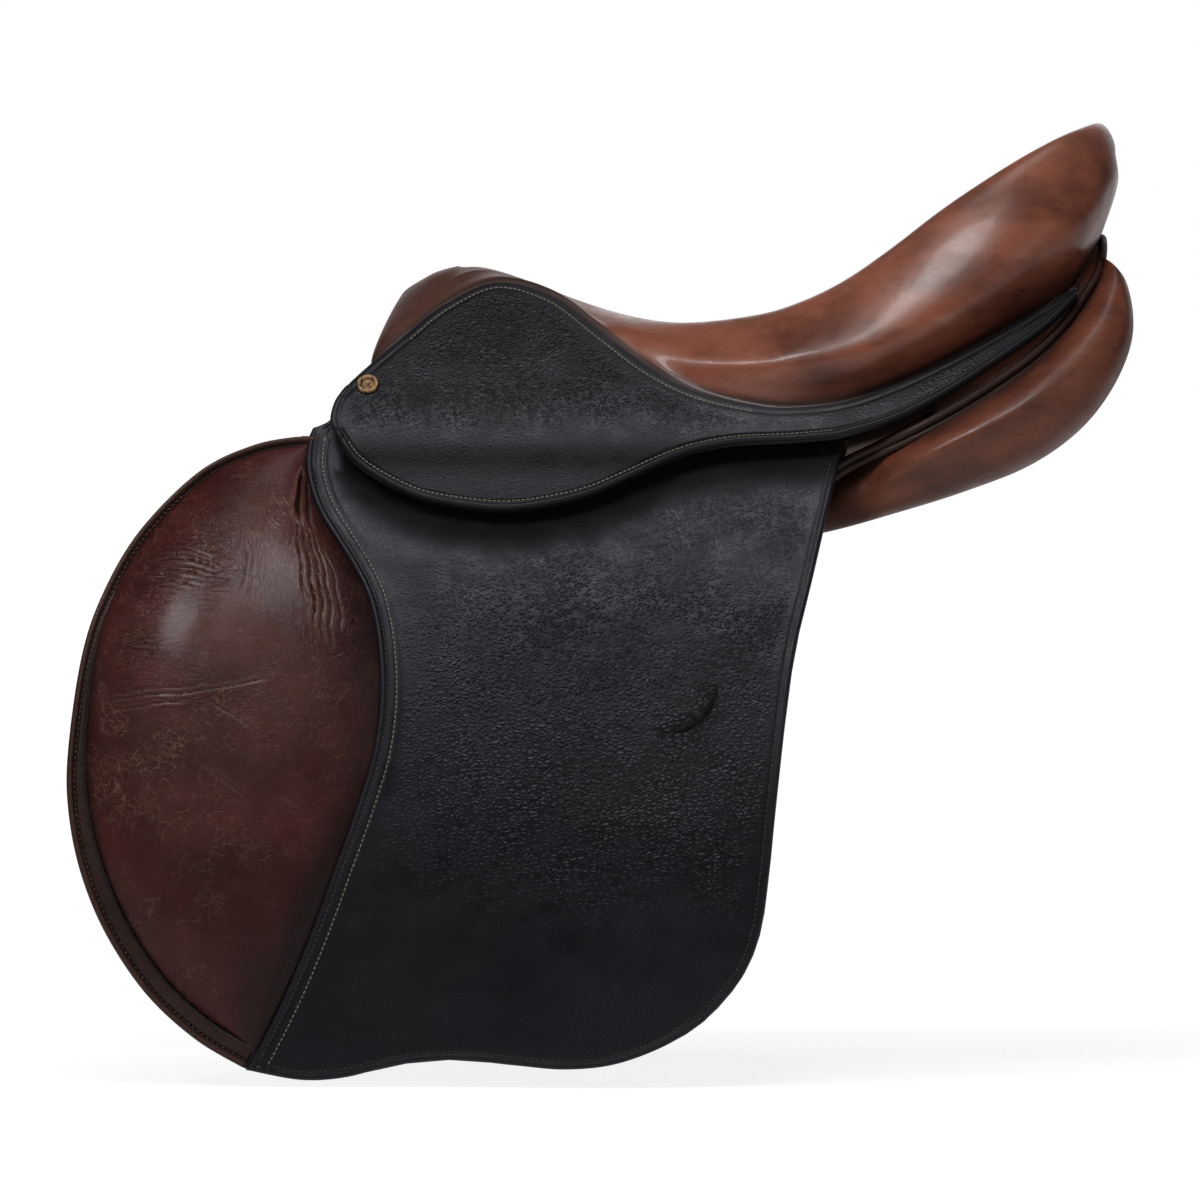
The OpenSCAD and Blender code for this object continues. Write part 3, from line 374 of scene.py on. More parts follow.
def leather_object(name, points, faces, finish, marks=None, sharp_degrees=48.0):
    """A closed leather piece, with marks stored on its points for its finish to use."""
    mesh = bpy.data.meshes.new(name)
    mesh.from_pydata(points.tolist(), [], faces)
    for mark, values in (marks or {}).items():
        stored = mesh.attributes.new(mark, "FLOAT", "POINT")
        stored.data.foreach_set("value", np.asarray(values, np.float32))
    work = bmesh.new()
    work.from_mesh(mesh)
    bmesh.ops.remove_doubles(work, verts=work.verts, dist=0.005 * MM)
    bmesh.ops.recalc_face_normals(work, faces=work.faces)
    work.to_mesh(mesh)
    work.free()
    mesh.polygons.foreach_set("use_smooth", np.ones(len(mesh.polygons), bool))
    mesh.set_sharp_from_angle(angle=math.radians(sharp_degrees))
    mesh.materials.append(finish)
    piece = bpy.data.objects.new(name, mesh)
    bpy.context.scene.collection.objects.link(piece)
    return piece


def quads(index):
    corners = [index[:-1, :-1], index[:-1, 1:], index[1:, 1:], index[1:, :-1]]
    return np.stack([c.ravel() for c in corners], axis=1).tolist()


def closed_sheet(name, side, top, under, finish, marks=None, stride=6):
    """A sheet with a fine top, and a coarse underside that uses every sixth row and column."""
    rows, columns = top.shape[:2]
    fine = np.arange(rows * columns).reshape(rows, columns)
    kept = under[::stride, ::stride]
    coarse = rows * columns + np.arange(kept.shape[0] * kept.shape[1]).reshape(kept.shape[:2])
    faces = quads(fine) + quads(coarse[:, ::-1])
    fine_rims = (fine[0], fine[-1], fine[:, 0], fine[:, -1])
    coarse_rims = (coarse[0], coarse[-1], coarse[:, 0], coarse[:, -1])
    for upper, lower in zip(fine_rims, coarse_rims):
        for k in range(len(lower) - 1):
            run = upper[k * stride : (k + 1) * stride + 1].tolist()
            faces.append([*run, int(lower[k + 1]), int(lower[k])])
    points = to_side(np.concatenate([top.reshape(-1, 3), kept.reshape(-1, 3)]), side)
    blank = np.zeros(kept.shape[0] * kept.shape[1])
    marks = {mark: np.concatenate([values.ravel(), blank]) for mark, values in (marks or {}).items()}
    return leather_object(name, points, faces, finish, marks)


def ring_tube(name, side, rings, finish, marks=None):
    """A closed tube through rings of points, with flat ends."""
    count, sides = rings.shape[:2]
    index = np.arange(count * sides).reshape(count, sides)
    faces = quads(np.concatenate([index, index[:, :1]], axis=1))
    faces.append(index[0].tolist())
    faces.append(index[-1].tolist())
    flat_marks = {mark: values.ravel() for mark, values in (marks or {}).items()}
    return leather_object(name, to_side(rings.reshape(-1, 3), side), faces, finish, flat_marks)


def both_halves(name, half, finish, marks=None, **settings):
    """One piece from the grid of its left half and the mirror image of that."""
    index = np.arange(half[..., 0].size).reshape(half.shape[:2])
    faces = quads(index) + quads(index[:, ::-1] + index.size)
    points = np.concatenate([half.reshape(-1, 3), (half * (1, -1, 1)).reshape(-1, 3)])
    all_marks = {mark: np.tile(values.ravel(), 2) for mark, values in (marks or {}).items()}
    return leather_object(name, points, faces, finish, all_marks, **settings)


def give_thickness(piece, thickness, offset=0.0):
    """Thickness for an open sheet. With offset -1 the sheet stays the outer face."""
    solid = piece.modifiers.new("leather", "SOLIDIFY")
    solid.thickness = thickness
    solid.offset = offset


def place_piece(piece, body, slot, *nodes):
    """A piece rides on a body and may stand for nodes of the frame. Its slot is not used."""
    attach(piece, body)
    if nodes:
        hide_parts(*nodes)
    print(piece.name, len(piece.data.vertices), "points on", body)


print("mesh tools ready")

# %% [markdown]
# ## Finishes
# Each leather is its own finish. The grain could be painted, but a painted grain has one size and one
# light. Here it is worked out in space: cells for the pebbles of buffalo leather, stretched noise for the
# patina of waxed calf, a net of thin cracks for the old knee pads. A little bump lifts each of them.

# %% Finish tools
def new_finish(name, **constants):
    """A finish with its own surface shader; constants go straight on the shader's sockets."""
    finish = bpy.data.materials.new(name)
    finish.use_nodes = True
    surface = finish.node_tree.nodes["Principled BSDF"]
    for key, value in constants.items():
        surface.inputs[key.replace("_", " ")].default_value = value
    return finish, surface


def places(finish, stretch=(1.0, 1.0, 1.0)):
    where = add(finish, "TexCoord").outputs["Object"]
    return add(finish, "Mapping", {"Vector": where, "Scale": stretch}).outputs["Vector"]


def noise(finish, where, scale, detail=4.0, roughness=0.55):
    settings = {"Vector": where, "Scale": scale, "Detail": detail, "Roughness": roughness}
    return add(finish, "TexNoise", settings).outputs["Fac"]


def between(finish, value, low, high, to_low=0.0, to_high=1.0):
    """A value eased from one range to another."""
    ends = {"Value": value, "From Min": low, "From Max": high, "To Min": to_low, "To Max": to_high}
    return add(finish, "MapRange", ends, interpolation_type="SMOOTHSTEP").outputs["Result"]


def as_colour(colour):
    return colour if isinstance(colour, bpy.types.NodeSocket) else (*colour, 1.0)


def toned(colour, share):
    return [channel * share for channel in colour]


def blend_colour(finish, factor, first, second):
    ends = {"Fac": factor, "Color1": as_colour(first), "Color2": as_colour(second)}
    return add(finish, "MixRGB", ends).outputs["Color"]


def cells(finish, where, scale, feature="DISTANCE_TO_EDGE"):
    return add(finish, "TexVoronoi", {"Vector": where, "Scale": scale}, feature=feature).outputs["Distance"]


def wander(finish, where, scale, amount):
    """Places pushed about by noise, so that cells lose their straight edges."""
    push = add(finish, "TexNoise", {"Vector": where, "Scale": scale, "Detail": 3.0}).outputs["Color"]
    centred = add(finish, "VectorMath", {0: push, 1: (0.5, 0.5, 0.5)}, operation="SUBTRACT").outputs[0]
    moved = add(finish, "VectorMath", {0: centred, "Scale": amount}, operation="SCALE").outputs[0]
    return add(finish, "VectorMath", {0: where, 1: moved}, operation="ADD").outputs[0]


def mark(finish, name):
    return add(finish, "Attribute", attribute_name=name, attribute_type="GEOMETRY").outputs["Fac"]


def bumps(finish, surface, layers):
    """Height layers, each with its depth, laid over one another."""
    normal = None
    for height, depth, strength in layers:
        inputs = {"Height": height, "Distance": depth, "Strength": strength}
        if normal is not None:
            inputs["Normal"] = normal
        normal = add(finish, "Bump", inputs).outputs["Normal"]
    finish.node_tree.links.new(normal, surface.inputs["Normal"])


def paint(finish, surface, colour, roughness):
    finish.node_tree.links.new(colour, surface.inputs["Base Color"])
    finish.node_tree.links.new(roughness, surface.inputs["Roughness"])


print("finish tools ready")

# %% [markdown]
# ### Black buffalo of flaps and skirts
# Buffalo hide has raised pebbles of two or three millimetres, pressed flat where a leg rubs. A mark on each
# sheet says how strong the pebbles are there, so edges and worn parts come out smooth.

# %% Black pebbled leather
def pebbled_leather(name, black, worn, tint):
    finish, surface = new_finish(name, Specular_IOR_Level=0.14, Specular_Tint=(0.90, 0.88, 1.0, 1.0))
    where = places(finish, (0.8, 1.0, 1.15))
    loose = wander(finish, where, 220.0, 0.0026)
    pebble = between(finish, cells(finish, loose, 370.0), 0.0, 0.42)
    small = between(finish, cells(finish, loose, 900.0), 0.0, 0.4)
    patchy = between(finish, noise(finish, where, 30.0), 0.30, 0.60, 0.45, 1.0)
    grain = times(finish, mark(finish, "grain"), patchy)
    raised = times(finish, pebble, grain)
    clouds = noise(finish, where, 11.0, 6.0)
    colour = blend_colour(finish, between(finish, clouds, 0.35, 0.7), black, worn)
    brown = times(finish, between(finish, noise(finish, where, 7.0, 3.0), 0.5, 0.75), 0.45)
    colour = blend_colour(finish, brown, colour, tint)
    valley = times(finish, between(finish, pebble, 0.0, 0.4, 0.8, 0.0), grain)
    colour = blend_colour(finish, valley, colour, toned(black, 0.3))
    colour = blend_colour(finish, mark(finish, "wear"), colour, toned(worn, 2.6))
    # Painted shade: the shade mark turns the colour nearly black and makes the leather duller.
    colour = blend_colour(finish, mark(finish, "shade"), colour, (0.0012, 0.0012, 0.0012))
    rough = between(finish, noise(finish, where, 70.0, 5.0), 0.3, 0.7, 0.30, 0.44)
    rough = sums(finish, "ADD", rough, times(finish, mark(finish, "shade"), 0.5))
    paint(finish, surface, colour, rough)
    fine = noise(finish, where, 1700.0, 2.0)
    layers = [(mark(finish, "sag"), 1.0 * MM, 1.0), (raised, 0.42 * MM, 1.0)]
    bumps(finish, surface, layers + [(small, 0.06 * MM, 0.6), (fine, 0.03 * MM, 0.5)])
    return finish


flap_black = [(0.0050, 0.0050, 0.0066), (0.0090, 0.0090, 0.0112), (0.0120, 0.0080, 0.0060)]
skirt_black = [(0.0046, 0.0045, 0.0052), (0.0080, 0.0078, 0.0088), (0.0125, 0.0083, 0.0058)]
flap_leather = pebbled_leather("flap_leather", *flap_black)
skirt_leather = pebbled_leather("skirt_leather", *skirt_black)
print(flap_leather.name, skirt_leather.name)

# %% [markdown]
# ### Waxed brown calf of seat and panels
# Calf is almost smooth. Years of wax and sitting give it slow clouds of dark and light brown, with
# hair-fine pores that only break up the shine. Near the seams it is darker by painted shade.

# %% Brown calf
def waxed_calf(name, deep, warm, pale, gloss, wax):
    finish, surface = new_finish(name, Specular_IOR_Level=0.26, Coat_Weight=wax, Coat_Roughness=0.14)
    where = places(finish)
    slow = places(finish, (0.8, 1.0, 1.5))
    clouds = noise(finish, slow, 15.0, 8.0, 0.62)
    colour = blend_colour(finish, between(finish, clouds, 0.36, 0.60), deep, warm)
    blotch = between(finish, noise(finish, slow, 42.0, 6.0, 0.65), 0.55, 0.72, 0.0, 0.6)
    colour = blend_colour(finish, blotch, colour, deep)
    light = between(finish, noise(finish, slow, 27.0, 7.0, 0.65), 0.54, 0.74, 0.0, 0.6)
    colour = blend_colour(finish, light, colour, pale)
    flecks = between(finish, noise(finish, where, 420.0, 3.0, 0.7), 0.58, 0.75, 0.0, 0.4)
    colour = blend_colour(finish, flecks, colour, toned(deep, 0.5))
    # Painted shade: the shade mark darkens the colour, and makes the leather duller below.
    colour = blend_colour(finish, mark(finish, "shade"), colour, toned(deep, 0.22))
    colour = blend_colour(finish, mark(finish, "wear"), colour, toned(pale, 1.5))
    rough = between(finish, noise(finish, where, 46.0, 7.0, 0.65), 0.3, 0.7, gloss, gloss + 0.2)
    rough = sums(finish, "ADD", rough, times(finish, mark(finish, "shade"), 0.3))
    paint(finish, surface, colour, rough)
    pores = between(finish, cells(finish, wander(finish, where, 500.0, 0.0012), 1100.0), 0.0, 0.3)
    wrinkle = between(finish, cells(finish, wander(finish, where, 120.0, 0.008), 230.0), 0.0, 0.10)
    thin = times(finish, wrinkle, between(finish, noise(finish, where, 30.0), 0.45, 0.65))
    uneven = noise(finish, where, 120.0, 5.0)
    bumps(finish, surface, [(uneven, 0.25 * MM, 0.3), (thin, 0.08 * MM, 0.35), (pores, 0.05 * MM, 0.4)])
    return finish


seat_browns = [(0.072, 0.0205, 0.0120), (0.168, 0.051, 0.029), (0.222, 0.090, 0.058)]
panel_browns = [(0.055, 0.0155, 0.0088), (0.122, 0.036, 0.019), (0.170, 0.060, 0.033)]
seat_leather = waxed_calf("seat_leather", *seat_browns, 0.24, 0.16)
panel_leather = waxed_calf("panel_leather", *panel_browns, 0.29, 0.07)
print(seat_leather.name, panel_leather.name)

# %% [markdown]
# ### Old calf of the knee pads
# The knees have creased this leather for years. Deep creases are modelled on the pad itself, and the finish
# adds the net of fine cracks, which shows pale where the surface has worn through.

# %% Creased calf
def creased_calf(name, deep, red, crack_colour):
    finish, surface = new_finish(name, Specular_IOR_Level=0.13, Coat_Weight=0.10, Coat_Roughness=0.18)
    where = places(finish)
    clouds = noise(finish, where, 18.0, 7.0, 0.62)
    colour = blend_colour(finish, between(finish, clouds, 0.35, 0.65), deep, red)
    loose = wander(finish, where, 120.0, 0.009)
    wide = between(finish, cells(finish, loose, 170.0), 0.0, 0.055, 1.0, 0.0)
    fine = between(finish, cells(finish, wander(finish, where, 260.0, 0.005), 430.0), 0.0, 0.075, 1.0, 0.0)
    patch = between(finish, noise(finish, where, 44.0, 5.0, 0.65), 0.44, 0.60)
    net = sums(finish, "MAXIMUM", wide, times(finish, fine, 0.7))
    net = times(finish, net, times(finish, mark(finish, "crackle"), patch))
    level = wander(finish, places(finish, (0.30, 0.30, 1.0)), 70.0, 0.012)
    level = between(finish, cells(finish, level, 330.0), 0.0, 0.14, 1.0, 0.0)
    level = times(finish, level, mark(finish, "folds_across"))
    upright = wander(finish, places(finish, (1.0, 0.5, 0.28)), 70.0, 0.012)
    upright = between(finish, cells(finish, upright, 330.0), 0.0, 0.14, 1.0, 0.0)
    upright = times(finish, upright, mark(finish, "folds_down"))
    folds = sums(finish, "MAXIMUM", level, upright)
    fold_share = times(finish, folds, 0.45)
    colour = blend_colour(finish, fold_share, colour, toned(deep, 0.4))
    colour = blend_colour(finish, times(finish, net, 0.75), colour, crack_colour)
    colour = blend_colour(finish, mark(finish, "wear"), colour, crack_colour)
    # Painted shade from the shade mark.
    colour = blend_colour(finish, mark(finish, "shade"), colour, toned(deep, 0.16))
    rough = between(finish, noise(finish, where, 60.0, 6.0, 0.65), 0.3, 0.7, 0.40, 0.60)
    rough = sums(finish, "SUBTRACT", rough, times(finish, mark(finish, "polish"), 0.2))
    paint(finish, surface, colour, rough)
    grain = between(finish, cells(finish, loose, 760.0), 0.0, 0.4)
    cracked = sums(finish, "MAXIMUM", folds, times(finish, net, 0.6))
    creased = times(finish, cracked, -1.0)
    layers = [(creased, 0.7 * MM, 0.9), (grain, 0.09 * MM, 0.6)]
    layers.append((noise(finish, where, 160.0, 6.0, 0.6), 0.45 * MM, 0.5))
    bumps(finish, surface, layers)
    return finish


pad_reds = [(0.0245, 0.0046, 0.0039), (0.050, 0.0102, 0.0090), (0.150, 0.072, 0.048)]
binding_reds = [(0.010, 0.0048, 0.0038), (0.020, 0.0085, 0.0065), (0.06, 0.024, 0.016)]
pad_leather = creased_calf("pad_leather", *pad_reds)
binding_leather = creased_calf("binding_leather", *binding_reds)
print(pad_leather.name, binding_leather.name)

# %% [markdown]
# ### Plainer finishes
# Linings, straps, wood, steel, brass, linen and thread show less, but each still has the detail of its
# stuff: flesh side fuzz, wood grain, brushed lines, a weave and the twist of a thread.

# %% Linings, straps and thread
def plain_leather(name, dark, light, rough_low):
    finish, surface = new_finish(name, Specular_IOR_Level=0.35)
    where = places(finish)
    colour = blend_colour(finish, between(finish, noise(finish, where, 40.0, 6.0), 0.3, 0.7), dark, light)
    rough = between(finish, noise(finish, where, 80.0), 0.3, 0.7, rough_low, rough_low + 0.15)
    paint(finish, surface, colour, rough)
    grain = between(finish, cells(finish, wander(finish, where, 400.0, 0.001), 800.0), 0.0, 0.4)
    bumps(finish, surface, [(grain, 0.08 * MM, 0.5), (noise(finish, where, 300.0), 0.1 * MM, 0.4)])
    return finish


def waxed_thread(name, dark, light):
    finish, surface = new_finish(name, Specular_IOR_Level=0.3)
    where = places(finish)
    colour = blend_colour(finish, noise(finish, where, 600.0, 3.0), dark, light)
    paint(finish, surface, colour, between(finish, noise(finish, where, 900.0), 0.3, 0.7, 0.5, 0.7))
    bumps(finish, surface, [(noise(finish, places(finish, (1.0, 1.0, 3.0)), 2500.0, 1.0), 0.08 * MM, 0.6)])
    return finish


lining_leather = plain_leather("lining_leather", (0.019, 0.014, 0.012), (0.033, 0.024, 0.020), 0.55)
strap_leather = plain_leather("strap_leather", (0.018, 0.015, 0.014), (0.032, 0.027, 0.025), 0.42)
cream_thread = waxed_thread("cream_thread", (0.12, 0.11, 0.08), (0.23, 0.21, 0.155))
dark_thread = waxed_thread("dark_thread", (0.020, 0.016, 0.012), (0.055, 0.042, 0.030))
brown_thread = waxed_thread("brown_thread", (0.040, 0.020, 0.013), (0.085, 0.045, 0.030))
print("linings, straps and three threads")

# %% Wood, metals, linen and foam
def beech_wood(name):
    finish, surface = new_finish(name, Specular_IOR_Level=0.4)
    where = wander(finish, places(finish, (0.25, 1.0, 1.0)), 8.0, 0.03)
    ring_settings = {"Vector": where, "Scale": 60.0, "Distortion": 5.0, "Detail": 3.0}
    rings = add(finish, "TexWave", ring_settings).outputs["Fac"]
    colour = blend_colour(finish, rings, (0.105, 0.052, 0.022), (0.060, 0.028, 0.012))
    fleck = between(finish, noise(finish, places(finish, (0.15, 1.0, 1.0)), 700.0), 0.6, 0.8, 0.0, 0.5)
    colour = blend_colour(finish, fleck, colour, (0.035, 0.016, 0.007))
    paint(finish, surface, colour, between(finish, rings, 0.0, 1.0, 0.45, 0.6))
    bumps(finish, surface, [(rings, 0.06 * MM, 0.4)])
    return finish


def worn_metal(name, bright, dull, rough_low, lines):
    finish, surface = new_finish(name, Metallic=1.0)
    where = places(finish)
    brushed = noise(finish, places(finish, lines), 500.0, 3.0)
    tarnish = between(finish, noise(finish, where, 320.0, 5.0), 0.38, 0.66)
    colour = blend_colour(finish, tarnish, bright, dull)
    paint(finish, surface, colour, between(finish, brushed, 0.2, 0.8, rough_low, rough_low + 0.25))
    bumps(finish, surface, [(brushed, 0.02 * MM, 0.5), (tarnish, 0.03 * MM, 0.4)])
    return finish


def linen_web(name):
    finish, surface = new_finish(name, Specular_IOR_Level=0.2)
    where = places(finish)
    warp = add(finish, "TexWave", {"Vector": where, "Scale": 320.0}, bands_direction="X").outputs["Fac"]
    weft = add(finish, "TexWave", {"Vector": where, "Scale": 320.0}, bands_direction="Y").outputs["Fac"]
    weave = times(finish, warp, weft)
    colour = blend_colour(finish, weave, (0.34, 0.29, 0.20), (0.60, 0.54, 0.41))
    paint(finish, surface, colour, between(finish, weave, 0.0, 1.0, 0.9, 0.75))
    bumps(finish, surface, [(weave, 0.3 * MM, 0.7)])
    return finish


def latex_foam(name):
    finish, surface = new_finish(name, Specular_IOR_Level=0.2)
    where = places(finish)
    pores = between(finish, cells(finish, where, 500.0, "F1"), 0.1, 0.6)
    colour = blend_colour(finish, pores, (0.022, 0.020, 0.018), (0.045, 0.041, 0.037))
    paint(finish, surface, colour, between(finish, pores, 0.0, 1.0, 0.95, 0.8))
    bumps(finish, surface, [(pores, 0.3 * MM, 0.6)])
    return finish


beech = beech_wood("beech")
steel_greys = [(0.42, 0.43, 0.45), (0.24, 0.245, 0.26)]
brass_browns = [(0.17, 0.105, 0.055), (0.038, 0.024, 0.014)]
steel = worn_metal("steel", *steel_greys, 0.28, (0.2, 1.0, 1.0))
antique_brass = worn_metal("antique_brass", *brass_browns, 0.36, (1.0, 1.0, 1.0))
webbing = linen_web("webbing")
foam = latex_foam("foam")
print("wood, metals, linen and foam")

# %% [markdown]
# ## Patterns of flap and skirt
# These are the saddle's own outlines, written as shares of each piece's length and depth. The real
# lengths are taken from the frame: an outline is stretched until it spans the node that it stands for.

# %% Pattern shares
flap_front_shares = [
    (0.283, 0.0), (0.225, 0.028), (0.160, 0.075), (0.091, 0.168), (0.047, 0.261), (0.019, 0.354),
    (0.001, 0.494), (0.0035, 0.587), (0.0215, 0.681), (0.055, 0.774), (0.108, 0.867), (0.173, 0.938),
    (0.240, 0.985),
]
flap_bottom_shares = [
    (0.240, 0.985), (0.308, 1.0), (0.366, 0.996), (0.430, 0.977), (0.508, 0.968), (0.585, 0.976),
    (0.649, 0.982), (0.713, 0.974), (0.778, 0.945), (0.829, 0.906),
]
flap_rear_shares = [
    (0.829, 0.906), (0.874, 0.844), (0.899, 0.774), (0.910, 0.681), (0.919, 0.556), (0.936, 0.354),
    (0.959, 0.215), (0.994, 0.0),
]
pad_seam_shares = [
    (0.289, 0.0), (0.295, 0.067), (0.317, 0.129), (0.353, 0.191), (0.382, 0.253), (0.397, 0.323),
    (0.403, 0.401), (0.398, 0.486), (0.379, 0.572), (0.353, 0.665), (0.321, 0.774), (0.289, 0.867),
    (0.257, 0.945), (0.238, 0.985),
]
neck_shares = [(0.208, 0.992), (0.159, 0.872), (0.088, 0.552), (0.081, 0.332), (0.042, 0.132), (0.0195, 0.06)]
skirt_front_shares = [(0.010, 0.0), (0.0, 0.10), (0.003, 0.216), (0.014, 0.3125)]
seat_edge_shares = [
    (0.048, 0.47), (0.089, 0.643), (0.141, 0.852), (0.211, 1.0), (0.290, 0.905), (0.357, 0.682),
    (0.424, 0.452), (0.491, 0.293), (0.571, 0.205), (0.626, 0.191), (0.693, 0.23), (0.760, 0.341),
    (0.839, 0.523), (0.921, 0.745), (0.985, 0.935),
]
tail_shares = [
    (0.996, 0.961), (0.999, 0.900), (0.961, 0.710), (0.894, 0.478), (0.827, 0.270), (0.760, 0.108),
    (0.686, 0.0),
]
lobe_shares = [
    (0.686, 0.0), (0.626, 0.055), (0.544, 0.10), (0.477, 0.25), (0.41, 0.55), (0.357, 0.785), (0.303, 0.925),
    (0.249, 0.995), (0.195, 0.965), (0.128, 0.84), (0.074, 0.60), (0.034, 0.325), (0.010, 0.0),
]
print(len(flap_bottom_shares) + len(flap_rear_shares), "flap edge points")
print(len(seat_edge_shares) + len(tail_shares) + len(lobe_shares), "skirt edge points")

# %% Stretch the patterns to the frame
line_steps = 400


def share_line(shares):
    return smooth_line(shares, line_steps)


def scale_of(lines, node):
    """Start and length along the barrel that make the lines span a node."""
    shares = np.concatenate([share_line(line) for line in lines])[:, 0]
    low, high = side_extent(node)[0]
    length = (high - low) / (shares.max() - shares.min())
    return low - shares.min() * length, length


flap_start, flap_length = scale_of([flap_front_shares, flap_rear_shares], "left_flap_lining")
flap_depth = fold_z - side_extent("left_flap_lining")[1][0]
skirt_start, skirt_length = scale_of([skirt_front_shares, tail_shares], "left_skirt_top")
skirt_rise = side_extent("left_skirt_top")[1][1] - fold_z
lobe_depth = fold_z - side_extent("left_skirt")[1][0]
neck_along, neck_up = side_extent("left_flap_top")[:2]
flap_base = layer["flap"][1]
skirt_base = layer["skirt"][1]


def flap_line(shares):
    """A flap pattern line, flat: x along the barrel, arc round it."""
    line = share_line(shares)
    return flat_places(flap_start + line[:, 0] * flap_length, fold_z - line[:, 1] * flap_depth, flap_base)


def skirt_line(shares, rise):
    """A skirt pattern line, flat, with its heights as shares of a rise above the fold."""
    line = share_line(shares)
    return flat_places(skirt_start + line[:, 0] * skirt_length, fold_z + line[:, 1] * rise, skirt_base)


print("flap", round(flap_length / MM), "x", round(flap_depth / MM), "mm")
print("skirt", round(skirt_length / MM), "mm")

# %% [markdown]
# ## Stitches
# A stitch is a short bent bead of thread that dives into the leather at both ends. Rows of them could be a
# texture, but real beads catch the light and stay in place when the flap lifts. One function lays a row
# along a line.

# %% Rows of stitches
stitch_sides = 6
stitch_length = 2.1 * MM
stitch_radius = 0.33 * MM
# Each ring of a bead: its share of half the length, its swelling and its lift.
stitch_profile_shares = [
    (-1.0, 0.15, -0.9), (-0.72, 0.85, -0.2), (0.0, 1.0, 0.15), (0.72, 0.85, -0.2), (1.0, 0.15, -0.9),
]


def stitch_row(name, side, path, outward, body, finish, slot, pitch=2.9 * MM):
    """Beads of thread along a path of points, each point with its outward direction."""
    run = run_of(path)
    count = int(run[-1] / pitch)
    middles = (np.arange(count) + 0.5) * pitch / run[-1]
    middle = line_at(path, middles)
    out = unit(line_at(outward, middles))
    ahead = unit(line_at(path, np.minimum(middles + 0.3 * pitch / run[-1], 1.0)) - middle)
    across = np.cross(out, ahead)
    angle = 2 * math.pi * np.arange(stitch_sides) / stitch_sides
    rings = []
    for step, swell, lift in stitch_profile_shares:
        centre = middle + ahead * (step * stitch_length / 2) + out * (lift * stitch_radius)
        circle = np.cos(angle)[None, :, None] * across[:, None] + np.sin(angle)[None, :, None] * out[:, None]
        rings.append(centre[:, None] + stitch_radius * swell * circle)
    points = np.stack(rings, axis=1)
    per_stitch = len(stitch_profile_shares) * stitch_sides
    index = np.arange(per_stitch).reshape(-1, stitch_sides)
    one = quads(np.concatenate([index, index[:, :1]], axis=1)) + [index[0].tolist(), index[-1].tolist()]
    faces = [[corner + k * per_stitch for corner in face] for k in range(count) for face in one]
    piece = leather_object(name, to_side(points.reshape(-1, 3), side), faces, finish)
    place_piece(piece, body, slot)


def barrel_path(line, radius, base):
    """A flat line laid on the barrel, and the way out of it at each point."""
    path = on_barrel(line, radius, base)
    return path, on_barrel(line, radius + MM, base) - path


print("stitch tools ready")

# %% [markdown]
# ## Flap
# The black flap is one hide from its neck under the skirt to its rounded lower corner. Its front edge lies
# over the knee pad as a raised strip with two rows of stitches. There is a crescent slit near the rear
# edge, perhaps for a strap: the leather inside the curve is pressed down and the lip outside stands up.
# Height is worked out from the distance to each line. The neck is nailed to the tree and the rest swings.

# %% Flap pattern
flap_rear = flap_line(flap_rear_shares[::-1])
flap_bottom = flap_line(flap_bottom_shares)
pad_seam = flap_line(pad_seam_shares)
neck = np.array(neck_shares)
neck_x = neck_along[0] + neck[:, 0] * (neck_along[1] - neck_along[0])
neck_rise = neck_up[1] - fold_z
neck_points = flat_places(neck_x, fold_z + neck[:, 1] * neck_rise, flap_base)
seam_points = pad_seam[:: line_steps // 20]
flap_front = smooth_line(np.concatenate([neck_points, seam_points[1:]]), line_steps)
bar_low = fold_z + 0.18 * neck_rise
neck_tip = neck_points[0, 0]
top_x = np.array([neck_tip, neck_tip + 30 * MM, neck_tip + 60 * MM, 0.0, flap_rear[0, 0]])
top_z = np.array([neck_up[1], neck_up[1] - 4 * MM, bar_low, bar_low, fold_z])
flap_top = smooth_line(flat_places(top_x, top_z, flap_base), line_steps)
flap_top[0] = flap_front[0]
flap_top[-1] = flap_rear[0]
flap_bottom[0] = flap_front[-1]
slit_shares = [(0.759, 0.464), (0.785, 0.465), (0.812, 0.450), (0.834, 0.420), (0.845, 0.381)]
slit = flap_line(slit_shares)
across_shares = crowded(156, [(0.0, 0.05), (0.66, 0.90), (0.95, 1.0)], 4.0)
down_shares = crowded(216, [(0.42, 0.58), (0.96, 1.0)], 4.0)
flap_grid = pattern_grid(flap_front, flap_rear, flap_top, flap_bottom, down_shares, across_shares)
strip_width = 13 * MM
strip_rise = 0.9 * MM
hem_inset = 4.6
seam_rows = {"edge_stitches": (4.2, dark_thread), "strip_stitches": (9.4, cream_thread)}
print("flap grid", flap_grid.shape[:2])

# %% Flap surface
from_seam = distance_to(flap_front, flap_grid)
from_edge = np.minimum(distance_to(flap_rear, flap_grid), distance_to(flap_bottom, flap_grid))
slit_centre = flap_line([(0.779, 0.395), (0.780, 0.396)])[0]
slit_reach = np.linalg.norm(slit - slit_centre, axis=1).mean()
offset = flap_grid - slit_centre
inside_slit = slit_reach - np.linalg.norm(offset, axis=-1)
bearing = np.arctan2(offset[..., 1], offset[..., 0])
first = np.arctan2(*(slit[0] - slit_centre)[::-1])
last = np.arctan2(*(slit[-1] - slit_centre)[::-1])
turn = (bearing - first) / (last - first)
opened = np.clip(np.sin(math.pi * np.clip(turn, 0, 1)), 0, 1) ** 0.6
sunk = np.clip(inside_slit / (0.5 * MM), 0, 1) * np.exp(-np.clip(inside_slit, 0, None) / (4 * MM))
lip = np.exp(-np.clip(-inside_slit, 0, None) / (5 * MM)) * np.clip(1 - inside_slit / (0.5 * MM), 0, 1)
strip = np.clip((strip_width - from_seam) / (3 * MM), 0, 1)
flap_height = -round_over(from_edge, 1.5 * MM) - round_over(from_seam, 1.6 * MM)
